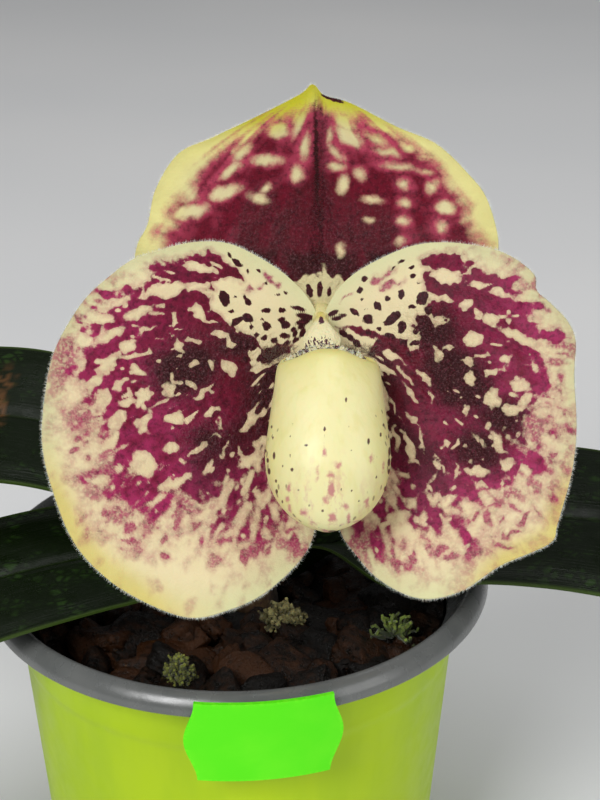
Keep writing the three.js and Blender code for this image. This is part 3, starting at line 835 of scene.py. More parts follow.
# ---- the pot
def eased(profile: Sequence[Flat], radius: float) -> list[Flat]:
    """Rounds the corners of a profile, but not its two ends.

    Args:
        profile: The profile's points.
        radius: How far from a corner its round starts.

    Returns:
        The profile with each inner corner as a short curve.
    """
    points = np.array(profile, float)
    made: list[Flat] = [tuple(points[0])]
    for before, corner, after in zip(points, points[1:], points[2:]):
        back, ahead = before - corner, after - corner
        reach = [min(radius, 0.45 * np.linalg.norm(side)) for side in (back, ahead)]
        start, end = corner + unit(back) * reach[0], corner + unit(ahead) * reach[1]
        for share in (0, 0.25, 0.5, 0.75, 1):
            bend = (1 - share) ** 2 * start + 2 * share * (1 - share) * corner + share**2 * end
            made.append(tuple(bend))
    made.append(tuple(points[-1]))
    return made


def turned(name: str, profile: Sequence[Flat], steps: int = 160) -> Object:
    """Spins a profile of (radius, height) points, from axis to axis, round the upright axis.

    Args:
        name: The piece's name.
        profile: Points in millimetres.
        steps: How many sides the round has.

    Returns:
        The closed piece.
    """
    none_selected()
    bpy.ops.mesh.primitive_circle_add(vertices=len(profile), fill_type="NOTHING")
    piece = added(name)
    place(piece, [(r, 0, z) for r, z in profile])
    bpy.ops.object.mode_set(mode="EDIT")
    whole_mesh()
    bpy.ops.mesh.spin(steps=steps, angle=2 * math.pi, center=(0, 0, 0), axis=(0, 0, 1))
    whole_mesh()
    bpy.ops.mesh.remove_doubles(threshold=WELD_GAP)
    whole_mesh()
    bpy.ops.mesh.delete_loose(use_verts=True, use_edges=True, use_faces=False)
    whole_mesh()
    bpy.ops.mesh.normals_make_consistent(inside=False)
    bpy.ops.object.mode_set(mode="OBJECT")
    return piece


@dataclass
class Pot:
    """The two-layer nursery pot and the bare label on its rim.

    The recess under it has its inner and its outer radius and its height.
    """

    rim: float = 45.0
    height: float = 80.0
    base: float = 34.0
    slope: float = 0.074
    foot_height: float = 2.4
    step_height: float = 66.0
    step_out: float = 0.45
    top: float = 75.4
    flare: float = 1.4
    flare_height: float = 2.6
    rim_depth: float = 3.7
    layer: float = 0.8
    gap: float = 0.3
    recess: Point = (14.0, 30.0, 1.6)
    holes: int = 6
    hole: float = 3.2
    hole_circle: float = 22.0
    heights: list[float] = field(init=False)

    def __post_init__(self) -> None:
        """Lists the heights at which the wall turns."""
        step, top = self.step_height, self.top
        self.heights = [self.foot_height, step - 0.8, step + 0.8, top - self.flare_height, top]

    def wall(self, z: float) -> float:
        """Gives the outside radius of the wall at a height."""
        step = self.step_out * smooth(z, self.step_height - 0.6, self.step_height + 0.6)
        flare = self.flare * smooth(z, self.top - self.flare_height, self.top)
        return float(self.base + self.slope * z + step + flare)

    def drained(self, piece: Object) -> Object:
        """Cuts the drain holes through a layer's floor."""
        cutters = []
        for number in range(self.holes):
            angle = 2 * math.pi * (number + 0.5) / self.holes
            out = self.hole_circle * MM
            spot = (out * math.cos(angle), out * math.sin(angle), 2 * MM)
            none_selected()
            bpy.ops.mesh.primitive_cylinder_add(vertices=32, radius=self.hole * MM, depth=20 * MM,
                                                location=spot)
            cutters.append(added(f"drain_cutter_{number}"))
        cutter = joined("drain_cutter", cutters)
        modified(piece, "BOOLEAN", object=cutter, operation="DIFFERENCE", solver="EXACT")
        bpy.data.objects.remove(cutter)
        return piece

    def lime_layer(self) -> Object:
        """Builds the outer layer: wall, foot and floor."""
        inner, outer, high = self.recess
        floor = high + self.layer
        outside = [(self.wall(z), z) for z in self.heights]
        inside = [(self.wall(z) - self.layer, z) for z in reversed(self.heights)]
        profile = [(0, 0), (inner - 1, 0), (inner, high), (outer - 1, high), (outer, 0), (self.base - 1, 0),
                   *outside, *inside, (self.base - 1.6, floor), (0, floor)]
        piece = self.drained(turned("lime_layer", eased(profile, 0.7)))
        finish = MouldedPlastic("lime_plastic", colour(178, 208, 8), colour(166, 199, 10), 0.42, 0.3)
        return finished(rounded(piece, 40), "lime_plastic", finish.material(), stands_for=["pot_outer_layer"])

    def grey_layer(self) -> Object:
        """Builds the inner layer: lining, floor and the rolled rim that caps the lime wall."""
        set_in, floor = self.layer + self.gap, self.recess[2] + self.layer + self.gap
        rim, top, under = self.rim, self.height, self.height - self.rim_depth
        heights = self.heights[1:]
        roll = [(self.wall(self.top) + 0.3, under), (rim - 0.3, under), (rim, under + 0.4),
                (rim - 0.25, under + 1.7), (rim - 1.1, under + 2.9), (rim - 2.3, top),
                (rim - 3.2, top - 0.4), (rim - 3.9, under + 2)]
        profile = [(0, floor), (self.base - 1.6 - self.gap, floor),
                   *[(self.wall(z) - set_in, z) for z in (floor + 1, *heights)],
                   (self.wall(self.top) - set_in, under), *roll,
                   *[(self.wall(z) - set_in - self.layer, z) for z in (*reversed(heights), floor + 2)],
                   (self.base - 3, floor + self.layer), (0, floor + self.layer)]
        piece = self.drained(turned("grey_layer", eased(profile, 0.62)))
        finish = MouldedPlastic("grey_plastic", colour(102, 104, 102), colour(88, 91, 90), 0.24, 0.7)
        return finished(rounded(piece, 40), "grey_plastic", finish.material(), stands_for=["pot_inner_layer"])

    def label(self) -> Object:
        """Builds the blank label with waved ends, which hangs straight down from the rim."""
        corner, wave, high, lean, thickness = 10.8, 1.9, 15.6, 1.5, 0.6
        turn = math.radians(4.7 - 90)

        def surface(down: Array, across: Array) -> Array:
            """Gives the label's middle surface."""
            half = corner + wave * np.sin(math.pi * down) ** 2
            radius = self.rim + 0.6 + thickness / 2 - lean * down
            angle = turn + (2 * across - 1) * half / self.rim
            return np.stack([radius * np.cos(angle), radius * np.sin(angle), self.height - high * down], 1)

        piece, down, across = sheet("price_label_bare", 60, 84, surface)
        edge = np.maximum(np.abs(2 * down - 1), np.abs(2 * across - 1))
        tag(piece, "edge", smooth(edge, 0.94, 1))
        thicken(piece, thickness)
        return finished(rounded(weld(piece, False)), "label_paper", LabelPaper().material(),
                        stands_for=["price_label"])


def joined(name: str, pieces: Sequence[Object]) -> Object:
    """Joins several pieces into one, under a new name."""
    alone(pieces[0])
    for piece in pieces:
        piece.select_set(True)
    if len(pieces) > 1:
        bpy.ops.object.join()
    bpy.ops.object.transform_apply(location=True, rotation=True, scale=True)
    return added(name)


# ---- bark and moss
@dataclass
class BarkFill:
    """Packed pine bark with loose chips over its top.

    Each ring of chips has its radius, its count, the chips' size and how high they lie. None lies
    within clear of the crown.
    """

    pot: Pot
    top: float = 66.0
    forms: int = 7
    breaks: int = 7
    seed: int = 11
    crown: Flat = (3.0, 6.0)
    clear: float = 9.0
    rings: tuple[tuple[float, int, float, float], ...] = (
        (8, 6, 9, 1.5), (15, 11, 12, 3.0), (22.5, 15, 14, 3.4), (30, 19, 14, 3.6), (34.5, 25, 9, 3.2),
        (12, 9, 6, 5.4), (19, 14, 8, 6.0), (27, 17, 8.5, 6.2), (33, 20, 7, 5.6))

    def bed(self) -> Object:
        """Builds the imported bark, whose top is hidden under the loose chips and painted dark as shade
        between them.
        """
        set_in = 2 * self.pot.layer + self.pot.gap + 0.4
        low = self.pot.recess[2] + set_in + 0.4
        profile = [(0, low), (self.pot.base - 4, low), (self.pot.wall(low + 6) - set_in, low + 6),
                   (self.pot.wall(60) - set_in, 60), (self.pot.wall(60) - set_in, self.top),
                   *[(r, self.top) for r in range(34, 3, -3)], (0, self.top)]
        piece = turned("bark_bed", profile, 120)
        spots = vertices(piece) / MM
        up = spots[:, 2] > self.top - 0.1
        spots[up, 2] += 1.3 * grain(spots[up, 0], spots[up, 1], 3.1, self.seed)
        place(piece, spots)
        # Painted shade: the bed is painted nearly black, as the shade in the gaps between the loose chips.
        tag(piece, "tone", -0.9)
        return finished(rounded(piece), "bark", BarkSkin().material(), stands_for=["bark"])

    def form(self, number: int) -> Object:
        """Shapes one chip about 1 long: a block cut down by a few breaks, its corners worn."""
        draw = np.random.default_rng(self.seed + number)
        none_selected()
        bpy.ops.mesh.primitive_cube_add(size=1)
        piece = added(f"chip_form_{number}")
        bpy.ops.object.mode_set(mode="EDIT")
        for _ in range(self.breaks):
            lean = unit(draw.normal(size=3) * [1, 1, 0.8])
            whole_mesh()
            bpy.ops.mesh.bisect(plane_co=tuple(lean * draw.uniform(0.4, 0.52)), plane_no=tuple(lean),
                                use_fill=True, clear_outer=True)
        bpy.ops.object.mode_set(mode="OBJECT")
        modified(piece, "REMESH", mode="VOXEL", voxel_size=0.085, use_smooth_shade=True)
        spots = vertices(piece)
        x, y, z = spots.T
        rough = 0.05 * grain(x * 1.2 + z, y, 0.17, number) + 0.03 * grain(x + 3 * z, y - z, 0.09, number + 9)
        layered = 0.035 * grain(z, x * 0.25, 0.06, number + 20)
        place(piece, spots * (1 + rough + layered)[:, None] / MM)
        return piece

    def chips(self) -> Object:
        """Lays the loose chips on the bed in rings, clear of the crown, inside the wall."""
        draw = np.random.default_rng(self.seed)
        forms = [self.form(number) for number in range(self.forms)]
        laid: list[Object] = []
        inner = self.pot.wall(70) - 2 * self.pot.layer - self.pot.gap - 0.5
        for radius, count, size, lift in self.rings:
            for number in range(count):
                angle = 2 * math.pi * (number + 0.7 * draw.random()) / count
                reach = radius + 3 * (draw.random() - 0.5)
                scale = size * (0.85 + 0.4 * draw.random())
                squash = np.array([1, 0.62 + 0.2 * draw.random(), 0.44 + 0.16 * draw.random()])
                turns = (draw.random(3) - 0.5) * [1.2, 1.0, 2 * math.pi]
                high = self.top + lift + 1.4 * draw.random()
                spot = np.array([reach * math.cos(angle), reach * math.sin(angle), high])
                which, tone = draw.integers(self.forms), draw.uniform(-0.5, 1)
                if math.hypot(*(spot[:2] - self.crown)) < self.clear:
                    continue
                chip = forms[which].copy()
                chip.data = forms[which].data.copy()
                bpy.context.scene.collection.objects.link(chip)
                turn = Matrix.Rotation(turns[2], 3, "Z") @ Matrix.Rotation(turns[1], 3, "Y")
                turn = np.array(turn @ Matrix.Rotation(turns[0], 3, "X"))
                points = vertices(chip) * squash * scale @ turn.T + spot
                far = np.hypot(points[:, 0], points[:, 1])
                points[:, :2] *= np.minimum(1, inner / np.maximum(far, 1e-6))[:, None]
                place(chip, points)
                tag(chip, "tone", tone)
                laid.append(chip)
        for form in forms:
            bpy.data.objects.remove(form)
        piece = joined("bark_chips", laid)
        return finished(rounded(piece, 34), "bark", BarkSkin().material())


@dataclass(frozen=True)
class Habit:
    """How a growth looks: the half-sizes of its body, its strands and their two colours."""

    finish: str
    body: Point
    count: int
    length: float
    wide: float
    curl: float
    root: Colour
    tip: Colour


class Growth(Enum):
    """The kinds of small growth on the bark."""

    LICHEN = Habit("lichen_pale", (3.4, 2.4, 2.4), 300, 2.0, 0.5, 2.6,
                   colour(66, 62, 30), colour(170, 162, 104))
    CLUMP = Habit("moss_dark", (2.5, 2.1, 5.4), 560, 1.3, 0.42, 1.7,
                  colour(18, 22, 4), colour(124, 130, 44))
    STARRY = Habit("moss_bright", (2.8, 1.8, 1.2), 44, 3.6, 0.46, 2.2,
                   colour(34, 44, 12), colour(118, 138, 48))


@dataclass
class Tuft:
    """One tuft of moss or lichen on the bark."""

    node: str
    kind: Growth
    at: Point
    seed: int
    knots: int = 5
    sides: int = 4

    def build(self) -> Object:
        """Grows the tuft's strands from the middle of its body outwards."""
        draw = np.random.default_rng(self.seed)
        habit = self.kind.value
        routes, radii, tones = [], [], []
        shares = np.linspace(0, 1, self.knots)[:, None]
        for _ in range(habit.count):
            out = unit(draw.normal(size=3))
            out[2] = abs(out[2])
            start = np.array(self.at) + out * habit.body * draw.uniform(0.2, 0.85)
            aim = unit(out + 0.55 * draw.normal(size=3) + [0, 0, 0.3])
            aim[2] = abs(aim[2])
            side = unit(np.cross(aim, draw.normal(size=3)))
            length = habit.length * draw.uniform(0.5, 1.0)
            bend = side * habit.curl * 0.4 * length * np.sin(2.6 * shares) * shares
            routes.append(start + aim * length * shares + bend)
            radii.append(habit.wide * draw.uniform(0.6, 1.3))
            tones.append(np.repeat(shares, self.sides) * draw.uniform(0.3, 1.1) - 0.2 + 0.25 * out[2])
        piece = strands(f"{self.node}_strands", routes, radii, self.sides, 0.4)
        tag(piece, "tone", np.concatenate(tones))
        finish = MossGreen(habit.finish, habit.root, habit.tip).material()
        return finished(rounded(piece, 70), "moss", finish, stands_for=[self.node])


# ---- leaves and stems
@dataclass
class Leaf:
    """A strap-shaped leathery leaf, folded at its base and opening to a shallow keel."""

    node: str
    midrib: Sequence[Point]
    across: Point
    half: float
    seed: int
    scar: float = -1.0
    thickness: float = 1.3
    fold: float = 58.0
    keel: float = 3.0

    def width(self, share: Array) -> Array:
        """Gives the half-width at a share of the way along: a strap with a blunt tip."""
        base = between(0.36, 1, smooth(share, 0, 0.26))
        return self.half * base * np.sqrt(np.maximum(1.002 - np.maximum(0, 2 * share - 1) ** 2.6, 0))

    def surface(self, along: Array, across: Array) -> Array:
        """Gives the leaf's middle surface."""
        route = Route(self.midrib)
        centre, ahead = route.at(along), route.along(along)
        aim = np.array(self.across)
        side = unit(aim - ahead * (ahead @ aim)[:, None])
        up = unit(np.cross(side, ahead))
        up *= np.where(up[:, 2:] < 0, -1, 1)
        reach = 2 * across - 1
        lift = np.radians(between(self.fold, self.keel, smooth(along, 0, 0.2)))
        width = self.width(along) * np.abs(reach)
        droop = 0.09 * width * reach**2 * smooth(along, 0.3, 0.8)
        groove = 0.55 * bell(reach, 0.06) * smooth(along, 0.02, 0.2)
        swell = 0.3 * grain(along * 9, reach * 1.4, 1, self.seed) * smooth(along, 0.15, 0.4)
        rise = width * np.sin(lift) - droop - groove + swell
        return centre + side * (np.sign(reach) * width * np.cos(lift))[:, None] + up * rise[:, None]

    def build(self) -> Object:
        """Builds the leaf with a thin smooth margin."""
        piece, along, across = sheet(f"{self.node}_blade", 150, 44, self.surface)
        reach = np.abs(2 * across - 1)
        far = np.maximum(reach, smooth(along, 0.985, 1))
        tag(piece, "rim", np.maximum(smooth(far, 0.975, 1) * 0.8, 0.22 * bell(reach, 0.025)))
        ragged = 0.01 * grain(along * 90, across * 30, 1, self.seed + 3)
        scar = smooth(0.016 - np.abs(along - self.scar + ragged), 0, 0.01) * smooth(across, 0.1, 0.3)
        tag(piece, "scar", scar * smooth(grain(along * 300, across * 40, 1, self.seed + 5), -0.5, 0.2))
        thicken(piece, self.thickness, between(1, 0.34, smooth(far, 0.72, 1)), two_faced=True)
        top = LeafSkin("leaf_top", colour(9, 20, 2), colour(38, 62, 20), colour(62, 82, 32))
        under = LeafSkin("leaf_under", colour(64, 84, 44), colour(86, 44, 60), colour(110, 124, 70), 0.42)
        return finished(rounded(weld(piece, False), 70), "leaf", top.material(), under.material(),
                        stands_for=[self.node])


@dataclass
class Stem:
    """A round stem along a route, with a coat of short hair."""

    node: str
    slot: str
    route: Sequence[Point] | Array
    radius: Callable[[Array], Array]
    ribs: float = 0.0
    hair: int = 0
    seed: int = 1
    skin: StemSkin = StemSkin()

    def surface(self, along: Array, turn: Array) -> Array:
        """Gives the stem's skin, closed to a point at both ends."""
        route = Route(self.route)
        centre, ahead = route.at(along), route.along(along)
        side = unit(np.cross(ahead, [1.0, 0.12, 0.05]))
        other = np.cross(ahead, side)
        angle = 2 * math.pi * turn
        from_end = np.clip(np.minimum(along, 1 - along) / 0.03, 0, 1)
        ends = np.sqrt(from_end * (2 - from_end))
        reach = self.radius(along) * (1 + self.ribs * np.cos(3 * angle)) * ends
        return centre + side * (reach * np.cos(angle))[:, None] + other * (reach * np.sin(angle))[:, None]

    def build(self) -> None:
        """Builds the stem and its hair."""
        piece, _, _ = sheet(f"{self.node}_skin", 90, 40, self.surface)
        finished(rounded(weld(piece), 70), self.slot, self.skin.material(), stands_for=[self.node])
        if self.hair:
            draw = np.random.default_rng(self.seed)
            along, turn = draw.uniform(0.03, 0.97, self.hair), draw.random(self.hair)
            roots = self.surface(along, turn)
            out = unit(roots - Route(self.route).at(along))
            coat = hairs(f"{self.node}_hair", roots, out, draw, 0.35, (0.35, 0.75), 0.03)
            finished(coat, self.slot, HairCoat("stem_hair", colour(176, 150, 140)).material())


@dataclass
class Bract:
    """The small leaf that clasps the foot of the ovary."""

    foot: Point = (13.3, 8.2, 114.2)

    def surface(self, along: Array, across: Array) -> Array:
        """Gives the bract's middle surface."""
        wrap = np.radians(between(118, 30, smooth(along, 0.1, 1))) * (2 * across - 1)
        radius = 3.35 + 1.9 * np.sin(along * 2.2)
        turn = wrap + math.radians(80)
        on_stem = 1 - smooth(along, 0, 0.3)
        x = self.foot[0] - 0.8 * on_stem + radius * np.cos(turn) * between(1, 0.92, along)
        y = self.foot[1] + 0.2 + 0.8 * on_stem + radius * np.sin(turn) + 1.2 * along - 4.5 * along**2
        return np.stack([x, y, self.foot[2] - 3.2 + 17 * along - 2.2 * along**2], 1)

    def build(self) -> Object:
        """Builds the bract."""
        piece, along, across = sheet("bract_blade", 48, 48, self.surface)
        edge = np.maximum(np.abs(2 * across - 1), smooth(along, 0.94, 1))
        thicken(piece, 0.7, between(1, 0.4, smooth(edge, 0.6, 1)))
        skin = StemSkin("bract_skin", colour(96, 84, 56), colour(140, 146, 84))
        return finished(rounded(weld(piece, False), 70), "scape", skin.material(), stands_for=["bract"])


# ---- the flower
FLOWER_AT = np.array([13.4, -22.2, 132.9])
FLOWER_TILT = 21.0
FLOWER_TURN = -3.4
FLOWER_AXES = np.array(Matrix.Rotation(math.radians(FLOWER_TURN), 3, "Z")
                       @ Matrix.Rotation(math.radians(90 - FLOWER_TILT), 3, "X"))
# Which way the flower's hair stands: forwards and a little up.
FORWARD = FLOWER_AXES @ np.array([0, 0.35, 0.9])


def in_place(points: Array) -> Array:
    """Moves points from the flower's frame to where the flower stands."""
    return points @ FLOWER_AXES.T + FLOWER_AT


@dataclass(frozen=True)
class Mark:
    """One oval mark, its half-length and half-width in millimetres and its turn in degrees."""

    x: float
    y: float
    long: float
    wide: float
    turn: float = 0.0

    def depth(self, x: Array, y: Array) -> Array:
        """Gives how deep places lie in the mark, negative outside it."""
        cos, sin = math.cos(math.radians(self.turn)), math.sin(math.radians(self.turn))
        along = ((x - self.x) * cos + (y - self.y) * sin) / self.long
        across = ((y - self.y) * cos - (x - self.x) * sin) / self.wide
        return (1 - np.hypot(along, across)) * min(self.long, self.wide * 1.6)


def deepest(marks: Marks, x: Array, y: Array) -> Array:
    """Gives how deep places lie in whichever mark holds them best."""
    best = np.full(x.shape, -9.0)
    for mark in marks:
        best = np.maximum(best, Mark(*mark).depth(x, y))
    return best


def inside(outline: Sequence[Flat], x: Array, y: Array) -> Array:
    """Gives how far places lie inside a closed outline, negative outside it."""
    points = np.asarray(outline, float)
    best, within = np.full(x.shape, 1e9), np.zeros(x.shape, bool)
    for (ax, ay), (bx, by) in zip(points, np.roll(points, -1, axis=0)):
        dx, dy = bx - ax, by - ay
        share = np.clip(((x - ax) * dx + (y - ay) * dy) / (dx * dx + dy * dy), 0, 1)
        best = np.minimum(best, np.hypot(x - ax - share * dx, y - ay - share * dy))
        if dy:
            within ^= ((ay > y) != (by > y)) & (x < ax + (y - ay) * dx / dy)
    return np.where(within, best, -best)


@dataclass(frozen=True)
class Pattern:
    """The wine-coloured pattern of one petal or of the sepal.

    veil is the outline of the coloured field, islands its pale gaps, spots the dark dots about the
    claw and faint the blurred ones near the margin. browns are where the field darkens, and loose
    says where it breaks up. petal is 1 for a petal and 0 for the sepal, whose edges softness blurs.
    """

    veil: Sequence[Flat]
    islands: Marks
    spots: Marks
    faint: Marks
    browns: Marks
    loose: Surface
    seed: int
    softness: float = 0.0
    petal: float = 1.0

    def paint(self, piece: Object, x: Array, y: Array) -> None:
        """Stores the pattern in a piece whose vertices lie at x and y."""
        at = Ground(self, x, y)
        fret, near = self.fret(at), self.near_claw(at)
        ink = self.broken(at, self.field(at), fret)
        blurred = np.minimum(deepest(self.faint, at.wx, at.wy) + 0.3 * at.fleck - 0.05, 0.22)
        dim = (blurred > ink) & (blurred > -0.5)
        ink = np.maximum(ink, blurred)
        ink = ink + 0.28 * at.hood * at.band * smooth(ink, 1.6, -0.2)
        ink = ink - 0.35 * at.hood * smooth(y, 24, 34) * smooth(at.band, 0.35, -0.5)
        spot = smooth(near - np.minimum(ink, 0.1), -0.05, 0.05)
        blur = between(0.17, 0.42, np.maximum(0.6 * at.outer * at.petal, at.loose)) + self.softness * at.hood
        tag(piece, "haze", between(np.where(dim, 0.42, blur), 0.09, spot))
        tag(piece, "ink", np.maximum(ink, near))
        tag(piece, "freckle", self.dust(at, ink))
        pale = np.maximum(np.where(dim, 1, self.pale(at, ink)), smooth(ink, 0.1, -0.3))
        tag(piece, "pink", between(pale, 0, spot * smooth(near, -0.3, 0)))
        brown, heart = self.brown(at, fret)
        brown = between(brown * np.where(dim, 0, 1), 1, spot)
        tag(piece, "brown", np.clip(brown * smooth(np.maximum(ink, near), -0.3, 0.1), 0, 1))
        tag(piece, "crease", np.clip(np.maximum(heart, 0.5 * fret) * (1 - at.loose), 0, 1))

    def field(self, at: "Ground") -> Array:
        """Gives how deep places lie in the coloured field, with a frayed edge and its gaps left out."""
        frayed = at.shake * (0.2 * at.streak + 0.1 * at.fleck)
        torn = 0.9 * at.shake * at.outer * at.petal * (at.streak + 0.3 * at.fleck)
        blunt = between(0.8, 2.8, np.maximum(at.outer * at.petal, 0.35 * at.hood))
        tight = np.clip(at.reach / blunt, -1.6, 1.4) + frayed + torn
        net = np.clip(at.reach / 9, -0.9, 0.17) + at.blot + 0.2 * at.broad
        net = np.minimum(net, np.where(at.reach < 0, 0.34 + 0.05 * at.reach, 1))
        steep = between(between(1.25, 0.85, at.loose), 0.85, at.hood)
        gaps = frayed + 0.2 * at.loose * at.blot - steep * deepest(self.islands, at.wx, at.wy)
        gaps = gaps + (0.04 + 0.16 * smooth(at.x, 8, 13)) * at.hood
        return np.minimum(between(tight, net, at.loose), gaps)

    def fret(self, at: "Ground") -> Array:
        """Gives where a petal's field is a fret of small cells: beside the lip."""
        wide = between(12, 20, smooth(-at.y, 12, 22))
        beside = 1 - smooth(np.abs(at.x), wide - 3, wide + 3)
        return smooth(-at.y, 1, 6) * beside * (1 - smooth(-at.y, 26, 36)) * at.petal

    def broken(self, at: "Ground", ink: Array, fret: Array) -> Array:
        """Breaks a petal's field into streaks far out and into small cells where it is a fret."""
        whole = 2.0
        streaks = 2.2 * (0.66 - at.rays(1.1, 38, 18))
        cells = 1.7 * (0.38 - at.rays(2, 24, 11) - 0.5 * at.rays(1.1, 43, 12))
        ink = np.minimum(ink, between(whole, streaks, at.petal * smooth(at.far, 14, 24)))
        ink = np.minimum(ink, between(whole, cells, fret))
        return ink + 0.2 * at.petal * smooth(-at.y, 12, 17) * smooth(-at.y, 29, 24)

    def near_claw(self, at: "Ground") -> Array:
        """Gives how deep places lie in the dark dots about the claw."""
        jog = 0.18 * smooth(at.far, 2, 7)
        depth = deepest(self.spots, at.x + jog * at.cloud(0.4, 8), at.y + jog * at.cloud(0.4, 9))
        return depth + 0.12 * smooth(at.far, 9, 3) * at.petal

    def dust(self, at: "Ground", ink: Array) -> Array:
        """Gives the fine dust outside the field and the flush along its edges."""
        dusted = smooth(at.reach, -8, -0.5) * np.maximum(at.loose, smooth(at.far, 25, 34)) * at.petal
        dusted = dusted * between(0.35, 1, smooth(at.reach, 2, -0.5))
        dots = smooth(0.9 * at.rays(2, 27, 17) + 0.35 * at.fleck, -0.2, 0.6)
        edge = 0.42 * smooth(ink, -0.9, -0.1) * smooth(at.far, 8, 16)
        within = 0.1 * smooth(at.reach, -0.5, 2) * at.clear
        flush = np.maximum(edge, within) * at.petal
        return np.maximum(0.9 * dusted * dots, np.maximum(flush, 0.16 * dusted))

    def pale(self, at: "Ground", ink: Array) -> Array:
        """Gives how far the field pales to pink."""
        edge = 0.8 * smooth(ink, 0.55, 0) * np.maximum(np.maximum(at.loose, 0.8 * at.outer), 0.45)
        petal = 0.35 * at.loose + 0.25 * at.outer + 0.3 * smooth(at.far, 13, 25) + edge
        petal = petal + 0.35 * (at.broad + at.streak) * at.outer + 0.2 * at.fleck * (at.loose + at.outer)
        middle = 0.5 * smooth(np.abs(at.x), 15, 6) * smooth(at.y, 27, 17)
        upper = 0.25 * smooth(at.y, 19, 26)
        sepal = 1.05 - 0.75 * ink + 0.35 * at.band + 0.3 * at.broad - middle + upper
        return np.clip(between(petal, sepal, at.hood), 0, 1)

    def brown(self, at: "Ground", fret: Array) -> tuple[Array, Array]:
        """Gives how far the field darkens to brown, and its puckered heart."""
        middle = deepest(self.browns, at.wx, at.wy)
        heart = np.minimum(middle, between(12, 0.6, at.hood)) + 0.7 * at.broad + 0.8 * at.band * at.hood
        heart = smooth(heart, -2, 3.4)
        even = (0.26 + 0.3 * at.fleck) * (1 - at.outer) * (1 - at.loose) * (1 - at.hood)
        brown = np.maximum(np.maximum(heart, even), fret) * (1 - 0.6 * at.loose)
        pucker = 0.75 * at.petal * smooth(middle + 0.7 * at.broad, -4, 1)
        return brown, np.maximum(heart, pucker)


class Ground:
    """A blade laid flat, with the zones and the noise that its pattern is made from.

    far is how far from the claw a place lies and reach how deep in the veil. wx and wy are the place
    shaken a little, and shake how much. outer, clear, loose and hood are zones; the rest is noise.
    """

    def __init__(self, pattern: Pattern, x: Array, y: Array) -> None:
        """Works them out for a pattern at x and y."""
        self.x, self.y, self.seed, self.petal = x, y, pattern.seed, pattern.petal
        self.far, self.turn = np.hypot(x, y), np.arctan2(y, x)
        self.outer, self.clear = smooth(self.far, 18, 34), smooth(self.far, 3, 11)
        self.loose = pattern.loose(x, y)
        self.hood = (1 - self.petal) * smooth(y, 7, 12)
        self.shake = 1 - 0.5 * self.hood
        self.fleck = self.cloud(1.05, 5) + 0.6 * self.cloud(0.5, 6)
        self.broad = self.cloud(2.8, 7)
        self.streak = self.clear * (0.7 * self.rays(3, 24, 4) + 0.5 * self.rays(1.5, 46, 10))
        self.blot = 0.62 * self.rays(2.4, 25, 15) + 0.42 * self.rays(1.2, 46, 16) + 0.2 * self.fleck
        self.band = self.veins(1, 1, 14) + 0.5 * self.veins(2.1, 1.5, 13)
        self.wx = x + self.shake * (0.42 * self.cloud(1.35, 0) + 0.3 * self.cloud(0.62, 1))
        self.wy = y + self.shake * (0.42 * self.cloud(1.35, 2) + 0.3 * self.cloud(0.62, 3))
        self.reach = inside(pattern.veil, self.wx, self.wy)

    def cloud(self, size: float, number: int) -> Array:
        """Gives round blotches; each number gives its own."""
        return grain(self.x, self.y, size, self.seed + number)

    def rays(self, long: float, spokes: float, number: int) -> Array:
        """Gives blotches drawn out from the claw, so many of them to a radian."""
        return grain(self.far / long, spokes * self.turn, 1, self.seed + number)

    def veins(self, across: float, along: float, number: int) -> Array:
        """Gives blotches drawn out along the sepal's veins, which meet at its tip."""
        width = 1.6 * np.maximum(0.2, 1.05 - (self.y / 36) ** 2)
        return grain(across * self.x / width, along * self.y / 7.2, 1, self.seed + number)


